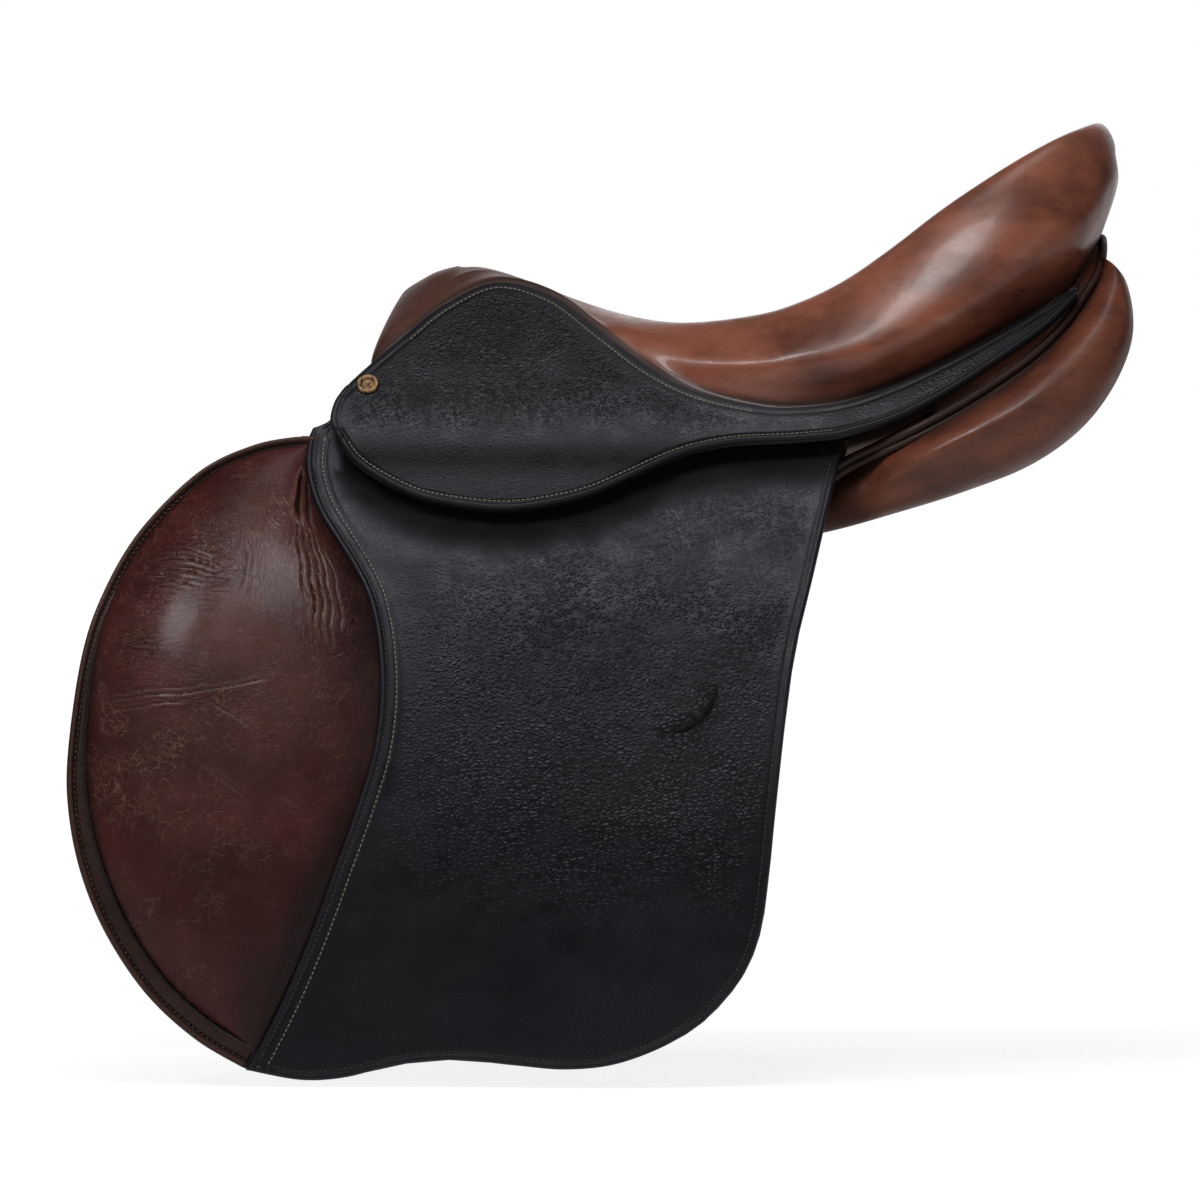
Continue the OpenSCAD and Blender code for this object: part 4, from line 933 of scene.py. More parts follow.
flap_height += ridge(from_edge, 0.5, 1.6, 1.2) - ridge(from_edge, 0.35, hem_inset, 0.9)
flap_height += strip * strip_rise + ridge(from_seam, 0.7, 1.8, 1.3)
for inset, _ in seam_rows.values():
    flap_height -= ridge(from_seam, 0.55, inset, 0.8)
flap_height += opened * (1.2 * MM * lip - 3.2 * MM * sunk)
wave = np.sin(flap_grid[..., 0] / 0.055 + 1.0) * np.sin(flap_grid[..., 1] / 0.075)
flap_height += 0.7 * MM * wave * np.clip(np.minimum(from_seam, from_edge) / (40 * MM), 0, 1)
flap_grain = np.clip((from_edge - 5 * MM) / (8 * MM), 0, 1) * np.clip((from_seam - 11 * MM) / (6 * MM), 0, 1)
pebbled_behind = np.clip((flap_grid[..., 0] + 0.20) / 0.13, 0, 1)
pebbled_above = np.clip((flap_grid[..., 1] - 0.06) / 0.13, 0.12, 1)
pebbled = pebbled_behind * pebbled_above * (1 - 0.6 * eased_step(flap_grid[..., 1], 0.24, 0.31))
flap_marks = {"grain": flap_grain * np.clip(pebbled + 0.08, 0, 1)}
lobe_edge = skirt_line(lobe_shares, -lobe_depth)[::8] * (1, flap_base / skirt_base)
lobe_edge = lobe_edge[np.argsort(lobe_edge[:, 0])]
no_hem = 1.0
hem_above = np.interp(flap_grid[..., 0], lobe_edge[:, 0], lobe_edge[:, 1], left=no_hem, right=no_hem)
below_hem = hem_above - flap_grid[..., 1]
# Painted shadow: the flap is blackened below the hem of the skirt's lobe, fading out 30 mm down, and painted
# shade runs along the slit.
skirt_shadow = 0.95 * eased_step(below_hem, 30 * MM, 6 * MM) * (hem_above < no_hem)
flap_marks["shade"] = np.maximum(skirt_shadow, 0.85 * opened * bell(inside_slit, 0.6 * MM, 1.0 * MM))
flap_marks["wear"] = 0.35 * bell(from_edge, 0.8 * MM, 0.8 * MM) + 0.30 * bell(from_seam, 1.2 * MM, 1.0 * MM)
print("flap heights", round(flap_height.min() / MM, 1), "to", round(flap_height.max() / MM, 1), "mm")

# %% Flap pieces and stitches
flap_top_face = on_barrel(flap_grid, flap_base + flap_height, flap_base)
flap_under_face = on_barrel(flap_grid, layer["flap"][0] + 0.15 * MM, flap_base)
for side in ("left", "right"):
    flap = closed_sheet(side + "_flap_hide", side, flap_top_face, flap_under_face, flap_leather, flap_marks)
    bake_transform(flap)
    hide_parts(side + "_flap_top", side + "_flap")
    print(flap.name, len(flap.data.vertices), "points")

edge_line = np.concatenate([flap_rear, flap_bottom[::-1]])
flap_rows = {}
for row, (inset, thread) in seam_rows.items():
    flap_rows[row] = (flap_front, (0.16, 0.985, 300), inset * MM, strip_rise - 0.35 * MM, thread)
flap_rows["hem_stitches"] = (edge_line, (0.03, 0.985, 400), -hem_inset * MM, -0.22 * MM, dark_thread)
for side in ("left", "right"):
    for row, (line, span, inset, lift, thread) in flap_rows.items():
        kept = beside(line_at(line, np.linspace(*span)), inset)
        path, outward = barrel_path(kept, flap_base + lift, flap_base)
        stitch_row(side + "_" + row, side, path, outward, side + "_flap", thread, "flap_leather")

# %% [markdown]
# ## Skirt
# The skirt covers the stirrup bar. Its upper part is sewn and nailed to the tree and runs back as a slim
# tail, and its lobe can be lifted to reach the bar. They are one hide on the real saddle. No joint of the
# frame joins the tree to the lobe directly, so the hide is cut along the fold, where both pieces lie on the
# same surface and meet.

# %% Skirt pattern
skirt_front = skirt_line(skirt_front_shares, skirt_rise)
seat_edge = skirt_line([skirt_front_shares[-1]] + seat_edge_shares, skirt_rise)
tail_low = skirt_line(tail_shares[1:], skirt_rise)[::-1]
tail_tip = skirt_line([seat_edge_shares[-1], tail_shares[0], tail_shares[1]], skirt_rise)
lobe_low = skirt_line(lobe_shares, -lobe_depth)[::-1]
fold_x = np.linspace(lobe_low[0, 0], tail_low[0, 0], line_steps)
fold_line = np.stack([fold_x, np.full(line_steps, lobe_low[0, 1])], axis=1)
skirt_low = np.concatenate([fold_line, tail_low[1:]])
skirt_across = crowded(312, [(0.0, 0.04), (0.94, 1.0)], 2.0)
skirt_down = crowded(60, [(0.0, 0.16), (0.84, 1.0)], 3.0)
skirt_grid = pattern_grid(skirt_front[::-1], tail_tip, seat_edge, skirt_low, skirt_down, skirt_across)
lobe_across = crowded(240, [(0.0, 0.06), (0.94, 1.0)], 2.0)
lobe_down = crowded(36, [(0.7, 1.0)], 3.0)
start_point = np.repeat(fold_line[:1], 2, axis=0)
end_point = np.repeat(fold_line[-1:], 2, axis=0)
lobe_grid = pattern_grid(start_point, end_point, fold_line, lobe_low, lobe_down, lobe_across)
print("skirt grids", skirt_grid.shape[:2], lobe_grid.shape[:2])

# %% Skirt surfaces
skirt_hem = np.concatenate([lobe_low, tail_low[1:]])


def skirt_shape(grid):
    """Height and marks of skirt leather: a bead and a groove along the hem, a thinned edge along the seat."""
    from_hem = distance_to(skirt_hem[::2], grid)
    from_front = distance_to(skirt_front[::8], grid)
    from_seat = distance_to(seat_edge[::2], grid)
    edge = np.minimum(np.minimum(from_hem, from_front), from_seat)
    height = -round_over(edge, 1.4 * MM)
    height += ridge(from_hem, 0.9, 1.9, 1.4) - ridge(from_hem, 0.6, 4.4, 0.9)
    height += ridge(from_front, 0.3, 1.9, 1.4) - ridge(from_front, 0.3, 4.4, 0.9)
    height -= ridge(from_seat, 0.35, 5.0, 1.0)
    height -= 0.8 * MM * np.clip(1 - from_seat / (9 * MM), 0, 1) ** 2
    rear = np.clip((grid[..., 0] - (skirt_start + 0.55 * skirt_length)) / (0.2 * skirt_length), 0, 1)
    middle = np.clip((edge - 6 * MM) / (8 * MM), 0, 1)
    lower = np.clip((grid[..., 1] - fold_line[0, 1] + 6 * MM) / (30 * MM), 0.12, 1)
    grain = middle * lower * (1 - 0.75 * rear) + 0.25 * rear * np.clip((edge - 3 * MM) / (3 * MM), 0, 1)
    wear = 0.40 * bell(from_hem, 1.9 * MM, 1.1 * MM) + 0.2 * bell(from_seat, 0.6 * MM, 0.8 * MM)
    below_fold = np.clip(fold_line[0, 1] - grid[..., 1], 0, None)
    drawn_in = 0.05 * below_fold * eased_step(below_fold, 0.0, 20 * MM)
    below_bar = np.clip(fold_line[0, 1] + 34 * MM - grid[..., 1], 0, None)
    sag = -0.13 * below_bar * eased_step(below_bar, 0.0, 62 * MM) * (1 - rear)
    return height - drawn_in, drawn_in, {"grain": grain, "wear": wear, "sag": sag / MM}


skirt_height, _, skirt_marks = skirt_shape(skirt_grid)
lobe_height, lobe_drawn_in, lobe_marks = skirt_shape(lobe_grid)
skirt_under = layer["skirt"][0] + 0.1 * MM
print("skirt heights", round(lobe_height.min() / MM, 1), "to", round(lobe_height.max() / MM, 1), "mm")

# %% Skirt pieces and stitches
skirt_face = on_barrel(skirt_grid, skirt_base + skirt_height, skirt_base)
skirt_back = on_barrel(skirt_grid, skirt_under, skirt_base)
lobe_face = on_barrel(lobe_grid, skirt_base + lobe_height, skirt_base)
lobe_back = on_barrel(lobe_grid, skirt_under - lobe_drawn_in, skirt_base)
for side in ("left", "right"):
    hide = closed_sheet(side + "_skirt_hide", side, skirt_face, skirt_back, skirt_leather, skirt_marks)
    place_piece(hide, "root", "skirt_leather", side + "_skirt_top")
    lobe = closed_sheet(side + "_skirt_lobe", side, lobe_face, lobe_back, skirt_leather, lobe_marks)
    place_piece(lobe, side + "_skirt", "skirt_leather", side + "_skirt")

skirt_rows = {
    "seat_edge_stitches": (seat_edge, (0.10, 0.60), -5.0, -0.35, "root", cream_thread),
    "tail_stitches": (tail_low, (0.02, 0.97), 4.4, -0.55, "root", dark_thread),
    "tail_upper_stitches": (tail_low, (0.35, 0.97), 9.0, -0.05, "root", dark_thread),
    "lobe_stitches": (lobe_low, (0.02, 0.995), 4.4, -0.55, "skirt", cream_thread),
}
for side in ("left", "right"):
    for row, (line, span, inset, sink, body, thread) in skirt_rows.items():
        kept = beside(line_at(line, np.linspace(*span, 300)), inset * MM)
        path, outward = barrel_path(kept, skirt_base + sink * MM, skirt_base)
        rides = body if body == "root" else side + "_" + body
        name = side + "_" + row
        stitch_row(name, side, path, outward, rides, thread, "skirt_leather", pitch=2.7 * MM)

# %% [markdown]
# ## Knee pad and its rolled edge
# The pad is foam under calf, crowned in the middle and sewn down round its rim. Cloth simulation would give
# a smooth pillow, but this pad's look is its creases: gathers under a dart at the top, folds across the
# shoulder, long soft lines lower down. So the crown is a formula, and each crease is pressed in one by one
# as a line with a depth and a width.

# %% Pad pattern
# The padded front stands a little proud of the flap's own lining at the shoulder.
pad_outline_shares = [
    (0.283, 0.0), (0.222, 0.014), (0.152, 0.056), (0.081, 0.146), (0.038, 0.241), (0.013, 0.342),
    (0.000, 0.494), (0.0035, 0.587), (0.0215, 0.681), (0.055, 0.774), (0.108, 0.867), (0.173, 0.938),
    (0.240, 0.985),
]
front_line = flap_line(pad_outline_shares)
roll_narrow = 5.5 * MM
roll_wide = 13.5 * MM


def roll_width(share):
    """Width of the rolled edge: narrow at the neck, wide at the lower front."""
    return roll_narrow + (roll_wide - roll_narrow) * eased_step(share, 0.25, 0.75)


pad_stretch = np.linspace(0.012, 0.985, 300)
pad_front = beside(line_at(front_line, pad_stretch), roll_width(pad_stretch) + 0.2 * MM)
pad_rear = beside(line_at(pad_seam, pad_stretch), 0.8 * MM)
pad_down = crowded(324, [(0.0, 0.5)], 0.8)
pad_across = crowded(180, [(0.0, 0.05), (0.95, 1.0)], 1.5)
pad_grid = ruled_grid(line_at(pad_front, pad_down), line_at(pad_rear, pad_down), pad_across)
pad_s = np.repeat(pad_down[:, None], len(pad_across), axis=1)
pad_t = np.repeat(pad_across[None], len(pad_down), axis=0)
print("pad grid", pad_grid.shape[:2])

# %% Creases of the pad
# Each crease: its points in shares down and across the pad, its depth and half width in millimetres.
creases = [
    ([(0.055, 0.90), (0.10, 0.83), (0.16, 0.78)], 2.4, 1.5),
    ([(0.065, 0.97), (0.11, 0.90), (0.17, 0.84)], 1.2, 1.4),
    ([(0.16, 0.79), (0.24, 0.77), (0.36, 0.775)], 0.65, 0.6),
    ([(0.17, 0.82), (0.25, 0.805), (0.37, 0.80)], 0.6, 0.6),
    ([(0.18, 0.845), (0.26, 0.835), (0.38, 0.83)], 0.5, 0.6),
    ([(0.16, 0.76), (0.23, 0.735), (0.31, 0.735)], 0.5, 0.6),
    ([(0.20, 0.87), (0.28, 0.87), (0.36, 0.865)], 0.4, 0.6),
    ([(0.10, 0.60), (0.13, 0.68), (0.15, 0.77)], 0.4, 0.6),
    ([(0.12, 0.56), (0.155, 0.65), (0.17, 0.73)], 0.45, 0.6),
    ([(0.14, 0.52), (0.18, 0.60), (0.195, 0.68)], 0.4, 0.6),
    ([(0.262, 0.12), (0.258, 0.24), (0.268, 0.38)], 0.4, 0.6),
    ([(0.278, 0.10), (0.274, 0.24), (0.284, 0.42)], 0.6, 0.6),
    ([(0.290, 0.12), (0.290, 0.22), (0.298, 0.37)], 0.5, 0.6),
    ([(0.303, 0.08), (0.306, 0.20), (0.311, 0.34)], 0.45, 0.6),
    ([(0.318, 0.07), (0.323, 0.16), (0.326, 0.27)], 0.35, 0.6),
    ([(0.24, 0.50), (0.27, 0.52), (0.32, 0.50)], 0.3, 0.6),
    ([(0.392, 0.05), (0.388, 0.12), (0.372, 0.20)], 0.6, 0.6),
    ([(0.400, 0.06), (0.398, 0.13), (0.385, 0.22)], 0.35, 0.6),
    ([(0.478, 0.05), (0.468, 0.25), (0.458, 0.42), (0.432, 0.64)], 0.55, 0.65),
    ([(0.489, 0.07), (0.483, 0.22), (0.472, 0.38)], 0.45, 0.6),
    ([(0.468, 0.40), (0.49, 0.52), (0.515, 0.62)], 0.3, 0.65),
    ([(0.57, 0.06), (0.555, 0.22), (0.54, 0.40)], 0.3, 0.65),
    ([(0.55, 0.42), (0.59, 0.55), (0.61, 0.66)], 0.25, 0.65),
]
pad_length = run_of(pad_front)[-1]
pad_width = np.linalg.norm(pad_grid[:, -1] - pad_grid[:, 0], axis=1).mean()
pressed = np.zeros(pad_s.shape)
lifted = np.zeros(pad_s.shape)
flat_pad = np.stack([pad_s * pad_length, pad_t * pad_width], axis=-1)
sway = np.sin(flat_pad[..., 0] / 0.0047 + 3 * np.sin(flat_pad[..., 1] / 0.011))
flat_pad = flat_pad + 0.5 * MM * np.stack([sway, np.roll(sway, 7, axis=0)], axis=-1)
for shares, depth, width in creases:
    line = smooth_line(np.array(shares) * (pad_length, pad_width), 24)
    away = distance_to(line, flat_pad)
    to_start = np.linalg.norm(flat_pad - line[0], axis=-1)
    to_end = np.linalg.norm(flat_pad - line[-1], axis=-1)
    fade = eased_step(np.minimum(to_start, to_end), 0.0, 9 * MM)
    pressed += depth * MM * fade * bell(away, 0.0, width * MM)
    lifted += 0.45 * depth * MM * fade * bell(away, 2.0 * width * MM, 1.1 * width * MM)
print(len(creases), "creases, deepest", round(pressed.max() / MM, 1), "mm")

# %% Pad surface
pad_crown = side_extent("left_knee_pad")[2][1] - layer["flap"][0] - 3 * MM
front_rise = np.clip(pad_t / 0.5, 0, 1)
rear_rise = np.clip((1 - pad_t) / 0.5, 0, 1)
crown = (1 - (1 - front_rise) ** 2.6) * (1 - (1 - rear_rise) ** 2.6)
crown = crown * (1 - np.abs(2 * pad_s - 1) ** 3.4)
lumps = np.sin(flat_pad[..., 0] / 0.026 + 0.7) * np.sin(flat_pad[..., 1] / 0.021 + 0.4)
pad_height = 2.0 * MM + pad_crown * crown + 0.6 * MM * lumps * crown - pressed + lifted


def spots(*table):
    """Soft round marks on the pad: strength, place down and across it, reach down and across, in shares."""
    total = np.zeros(pad_s.shape)
    for strength, down, across, reach_down, reach_across in table:
        gap = ((pad_s - down) / reach_down) ** 2 + ((pad_t - across) / reach_across) ** 2
        total += strength * np.exp(-gap)
    return total


# Painted shade: the pad is darkened in its creases, toward the seam under the flap's strip, beside the rolled
# edge and over its lower part.
toward_seam = eased_step(pad_t, 0.80, 1.0)
toward_roll = eased_step(pad_t, 0.04, 0.0) * (1 - 0.6 * eased_step(pad_s, 0.48, 0.30))
shade = np.clip(pressed / (1.3 * MM), 0, 0.7) + 0.75 * toward_seam + 0.6 * toward_roll
shade += 0.5 * eased_step(pad_s, 0.62, 0.95) * eased_step(pad_t, 0.25, 0.75)
shade += 0.30 * eased_step(pad_s, 0.5, 0.8)
lower_front = eased_step(pad_t, 0.62, 0.10) * eased_step(pad_s, 0.33, 0.55)
polish = spots((1.0, 0.25, 0.3, 0.16, 0.5), (0.4, 0.2, 0.8, 0.1, 0.2))
crackle = 0.4 + lower_front + spots((0.5, 0.16, 0.55, 0.12, 0.3))
folds_across = spots(
    (0.9, 0.29, 0.25, 0.05, 0.2), (0.7, 0.40, 0.15, 0.03, 0.15), (0.5, 0.33, 0.9, 0.1, 0.12),
    (0.5, 0.47, 0.3, 0.03, 0.3), (0.4, 0.13, 0.66, 0.05, 0.15),
)
folds_down = spots((0.9, 0.26, 0.79, 0.12, 0.09), (0.5, 0.25, 0.52, 0.08, 0.1))
pad_marks = {"polish": polish, "crackle": crackle, "folds_across": folds_across, "folds_down": folds_down}
pad_marks = {mark: np.clip(values, 0, 1) for mark, values in pad_marks.items()}
pad_marks["shade"] = np.clip(shade, 0, 0.9)
pad_marks["wear"] = np.clip(lifted / (0.9 * MM), 0, 0.22)
pad_base = layer["flap"][0]
pad_face = on_barrel(pad_grid, pad_base + pad_height, flap_base)
pad_back = on_barrel(pad_grid, pad_base + 0.1 * MM, flap_base)
for side in ("left", "right"):
    pad = closed_sheet(side + "_pad_calf", side, pad_face, pad_back, pad_leather, pad_marks)
    place_piece(pad, side + "_flap", "pad_leather", side + "_knee_pad")

# %% Rolled edge
roll_share = np.linspace(0.004, 0.994, 361)
roll_line = line_at(front_line, roll_share)
roll_line[0] = roll_line[0] + (10 * MM, 0.0)
roll_across = np.linspace(0, 1, 31)
roll_from_edge = roll_width(roll_share)[:, None] * roll_across[None]
roll_grid = roll_line[:, None] + roll_from_edge[..., None] * left_of(roll_line)[:, None]
bead = 2.1 * MM
stitch_line = 4.6 * MM
roll_height = 1.8 * MM + 3.4 * MM * np.sqrt(np.clip(1 - ((roll_from_edge - bead) / bead) ** 2, 0, 1))
beside_bead = eased_step(roll_from_edge, bead, 2 * bead) * (3.6 * MM + 0.10 * (roll_from_edge - stitch_line))
roll_height = np.maximum(roll_height, beside_bead) - 0.9 * MM * bell(roll_from_edge, stitch_line, 0.7 * MM)
from_pad = roll_width(roll_share)[:, None] - roll_from_edge
roll_height -= 1.4 * MM * bell(from_pad, 0.0, 1.6 * MM)
# Painted shade in the stitch groove and along the seam by the pad, less in the upper half.
roll_shade = 0.8 * bell(roll_from_edge, stitch_line, 0.8 * MM) + 0.9 * bell(from_pad, 0.0, 2.0 * MM)
upper_roll = eased_step(roll_share, 0.48, 0.30)[:, None]
roll_marks = {"shade": np.clip(roll_shade * (1 - 0.55 * upper_roll), 0, 0.9)}
roll_marks["wear"] = 0.45 * bell(roll_from_edge, bead, 1.3 * MM) * (1 - upper_roll) + 0.55 * upper_roll
roll_marks["crackle"] = np.full(roll_height.shape, 0.4)
roll_face = on_barrel(roll_grid, pad_base + roll_height, flap_base)
roll_back = on_barrel(roll_grid, pad_base + 0.05 * MM, flap_base)
first_stitch = 60
stitch_path = beside(roll_line, stitch_line)[first_stitch:]
path, outward = barrel_path(stitch_path, pad_base + 2.85 * MM, flap_base)
for side in ("left", "right"):
    body = side + "_flap"
    roll = closed_sheet(side + "_pad_roll", side, roll_face, roll_back, binding_leather, roll_marks)
    place_piece(roll, body, "binding_leather", side + "_pad_binding")
    name = side + "_roll_stitches"
    stitch_row(name, side, path, outward, body, brown_thread, "binding_leather", pitch=3.3 * MM)

# %% [markdown]
# ## Seat
# The seat leather is drawn over foam: a dished middle, a rim, a bulging side and a seam where it tucks in
# behind the skirt. Key points close to those of its solid are joined by smooth lines, many times finer. The
# grid is then eased by drawing points to their neighbours and letting them out again, which keeps the
# fullness, so the shine runs without a break. The pucker behind the cantle, where leather is gathered, is
# pressed in afterwards.

# %% Seat key points
medial_shares = [
    (0.126, 0, 0.506), (0.129, 0, 0.506), (0.131, 0, 0.506), (0.136, 0, 0.506), (0.145, 0, 0.505),
    (0.164, 0, 0.5), (0.227, 0, 0.435), (0.297, 0, 0.358), (0.368, 0, 0.312), (0.431, 0, 0.287),
    (0.504, 0, 0.278), (0.553, 0, 0.29), (0.607, 0, 0.318), (0.656, 0, 0.361), (0.703, 0, 0.426),
    (0.749, 0, 0.506), (0.782, 0, 0.574), (0.801, 0, 0.611), (0.808, 0, 0.623),
]
rim_shares = [
    (0.080, 0, 0.475), (0.084, 0.141, 0.466), (0.091, 0.234, 0.438), (0.094, 0.281, 0.420),
    (0.122, 0.203, 0.475), (0.164, 0.156, 0.491), (0.234, 0.203, 0.423), (0.302, 0.328, 0.340),
    (0.370, 0.43, 0.299), (0.433, 0.516, 0.293), (0.511, 0.625, 0.318), (0.562, 0.6875, 0.355),
    (0.623, 0.742, 0.429), (0.684, 0.766, 0.537), (0.759, 0.75, 0.688), (0.841, 0.664, 0.833),
    (0.906, 0.516, 0.932), (0.951, 0.281, 0.985), (0.967, 0, 1),
]
bulge_shares = [
    (0.0445, 0, 0.414), (0.037, 0.1875, 0.370), (0.030, 0.43, 0.290), (0.064, 0.40, 0.347),
    (0.105, 0.3125, 0.417), (0.164, 0.25, 0.472), (0.239, 0.32, 0.404), (0.304, 0.477, 0.309),
    (0.372, 0.625, 0.241), (0.436, 0.758, 0.185), (0.515, 0.883, 0.167), (0.567, 0.945, 0.179),
    (0.632, 0.992, 0.200), (0.698, 1, 0.254), (0.780, 0.969, 0.368), (0.871, 0.867, 0.536),
    (0.944, 0.68, 0.684), (0.988, 0.359, 0.833), (1, 0, 0.852),
]
front_seam_shares = [(0.040, 0, 0.333), (0.023, 0.25, 0.278)]
front_hem_shares = [(0.0515, 0, 0.302), (0.0375, 0.258, 0.247)]
rear_seam_shares = [(0.965, 0.328, 0.583), (0.974, 0, 0.605)]
rear_hem_shares = [(0.9555, 0.3125, 0.562), (0.9625, 0, 0.58)]
dish_share = 0.55
dish_rise_share = 0.27
seat_height_share = 0.3794
seat_low, seat_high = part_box("seat_cover")
seat_middle = node_points("seat_cover")
seat_middle = seat_middle[np.abs(seat_middle[:, 1]) < MM]
seat_length = (seat_high.x - seat_middle[:, 0].min()) / (1 - front_seam_shares[0][0])
seat_height = seat_height_share * seat_length
seat_origin = np.array([seat_high.x - seat_length, 0.0, seat_high.z - seat_height])
seat_scale = np.array([seat_length, seat_low.y, seat_height])
print("seat", round(seat_length / MM), "mm long,", round(seat_height / MM), "mm high")

# %% Seat surface
def seat_points(shares):
    return seat_origin + np.array(shares, float) * seat_scale


def beside_skirt(lift):
    """The skirt's seat edge, moved up or down and laid just inside the skirt."""
    edge = np.array(seat_edge_shares)
    x = skirt_start + edge[:, 0] * skirt_length
    z = fold_z + edge[:, 1] * skirt_rise + lift
    radius = layer["skirt"][0] - 0.8 * MM
    return on_barrel(flat_places(x, z, radius), radius, radius)


seam = np.concatenate([seat_points(front_seam_shares), beside_skirt(2.5 * MM), seat_points(rear_seam_shares)])
hem = np.concatenate([seat_points(front_hem_shares), beside_skirt(-4.0 * MM), seat_points(rear_hem_shares)])
medial = seat_points(medial_shares)
rim = seat_points(rim_shares)
dish = medial + (rim - medial) * (dish_share, dish_share, dish_rise_share)
seat_keys = np.stack([medial, dish, rim, seat_points(bulge_shares), seam, hem], axis=1)
stations = 192
seat_rows = 70
seat_lines = np.stack([smooth_line(seat_keys[:, row], stations) for row in range(seat_keys.shape[1])], axis=1)
seat_grid = np.stack([smooth_line(seat_lines[i], seat_rows) for i in range(stations + 1)])


def eased(grid, pulls, share):
    """Each point drawn to its neighbours, or let out again, by each pull in turn.

    The far half of the seat is the near half mirrored."""
    flip = np.array([1.0, -1.0, 1.0])
    for pull in pulls:
        ahead = np.concatenate([grid[1:2] * flip, grid[:-1]])
        behind = np.concatenate([grid[1:], grid[-2:-1] * flip])
        inner = np.concatenate([grid[:, 1:2] * flip, grid[:, :-1]], axis=1)
        outer = np.concatenate([grid[:, 1:], grid[:, -1:]], axis=1)
        mean = 0.25 * (ahead + behind + inner + outer)
        hold = np.ones(grid.shape[1])
        hold[-12:] = np.linspace(1, 0, 12)
        grid = grid + pull * (mean - grid) * hold[None, :, None] * share[..., None]
        grid[0, :, 1] = 0.0
        grid[-1, :, 1] = 0.0
        grid[:, 0, 1] = 0.0
    return grid


everywhere = np.ones(seat_grid.shape[:2])
seat_grid = eased(seat_grid, (0.5, -0.51) * 180, everywhere)
row_share = np.linspace(0, 1, seat_rows + 1)[None].repeat(stations + 1, axis=0)
pommel_share = eased_step(seat_grid[..., 0] - seat_low.x, 0.115, 0.07)
seat_grid = eased(seat_grid, (0.5,) * 22, pommel_share)
seat_grid = eased(seat_grid, (0.5,) * 60, pommel_share * eased_step(row_share, 0.60, 0.40))
seat_grid = eased(seat_grid, (0.5,) * 180, eased_step(row_share, 0.40, 0.18))
print("seat grid", seat_grid.shape[:2])

# %% Pucker and seat piece
pucker_place = np.array([seat_high.x - 7 * MM, 0.0, seat_high.z - 21 * MM])
gap_to_pucker = (seat_grid - pucker_place) / np.array([20 * MM, 30 * MM, 7 * MM])
pucker = np.exp(-(gap_to_pucker**2).sum(-1))
gathers = 0.5 + 0.5 * np.cos(seat_grid[..., 1] / 0.0028)
seat_grid[..., 0] -= pucker * (2.6 * MM + 0.9 * MM * gathers)
seam_row = 0.8
# Painted shade: the seat is darkened at its seam, where it tucks in behind the skirt, below the seam, in the
# pucker and over the pommel.
seat_shade = 0.75 * bell(row_share, seam_row + 0.02, 0.055) + 0.8 * (row_share > seam_row) + 0.45 * pucker
from_pommel = seat_grid[..., 0] - seat_low.x
seat_shade += 0.75 * eased_step(from_pommel, 0.15, 0.06)
waist = bell(from_pommel, 0.226, 0.05) * bell(row_share, 0.755, 0.03)
pommel_wear = bell(from_pommel, 0.05, 0.05) * bell(row_share, 0.765, 0.025)
# The top of the seat is paler: rubbed wear with a painted grey sheen.
rubbed_top_and_sheen = 0.16 * eased_step(row_share, 0.62, 0.38) * eased_step(from_pommel, 0.081, 0.211)
seat_wear = np.clip(0.25 * waist + 0.12 * pommel_wear + 0.25 * pucker * gathers + rubbed_top_and_sheen, 0, 0.6)
seat_marks = {"shade": np.clip(seat_shade, 0, 0.95), "wear": seat_wear}
seat = both_halves("seat_calf", seat_grid, seat_leather, seat_marks, sharp_degrees=80.0)
give_thickness(seat, 2.2 * MM, offset=-1.0)
place_piece(seat, "root", "seat_leather", "seat_cover")

# %% [markdown]
# ## Leather turned under the pommel
# At the front the seat leather is turned under and tacked to the head of the tree, which closes the arch.
# It is a short strip that hangs from the seat's lower edge, left and right of the middle.

# %% Turned-under strip
turned_top = seat_grid[:46, -1]
turned_low = turned_top * (1, 0.94, 1) + np.array([10.0, 0.0, -22.0]) * MM
turned_half = ruled_grid(turned_top, turned_low, np.linspace(0, 1, 7))
turned_half[0, :, 1] = 0.0
# Painted shade: the strip under the arch is darkened all over.
turned_marks = {"shade": np.full(turned_half.shape[:2], 0.8)}
turned = both_halves("pommel_turn_under", turned_half, seat_leather, turned_marks)
strip_thickness = 1.6 * MM
give_thickness(turned, strip_thickness)
place_piece(turned, "root", "seat_leather")

# %% [markdown]
# ## Foam under the seat
# Nobody sees the foam unless the saddle is turned over, but it fills the seat. It is the seat's own surface
# moved in, closed by a floor above the webs.

# %% Seat foam
foam_rows = seat_grid[::4, 0:40:3]
foam_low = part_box("seat_foam")[0]
along_seat = np.gradient(foam_rows, axis=0)
over_seat = np.gradient(foam_rows, axis=1)
into = np.cross(along_seat, over_seat)
into = into / np.maximum(np.linalg.norm(into, axis=-1), 1e-9)[..., None]
foam_top = foam_rows + 8 * MM * into
foam_floor = foam_top[:, -1] * (1, 0.45, 0)
foam_floor[:, 2] = np.maximum(foam_top[:, -1, 2] - 24 * MM, foam_low.z + 2 * MM)
foam_middle = foam_floor * (1, 0, 1)
foam_half = np.concatenate([foam_top, foam_floor[:, None], foam_middle[:, None]], axis=1)
foam_half[0, :, 1] = 0.0
foam_half[-1, :, 1] = 0.0
foam_half[:, 0, 1] = 0.0
foam_core = both_halves("seat_latex", foam_half, foam)
place_piece(foam_core, "root", "foam", "seat_foam")

# %% [markdown]
# ## Welt, facing, gusset and panels
# A double welt runs round the rear from flap to flap. Above it a strip of leather, the facing, closes the
# back of the cantle, and below it lie two wool-stuffed panels that carry the saddle on the horse, with a
# gusset of leather between their ends. A panel is a row of flattened rings, kept clear of the spine and of
# the sweat flap. On the real saddle its top edge is sewn into the welt, so the upper side of each rear ring
# is drawn up to the welt.

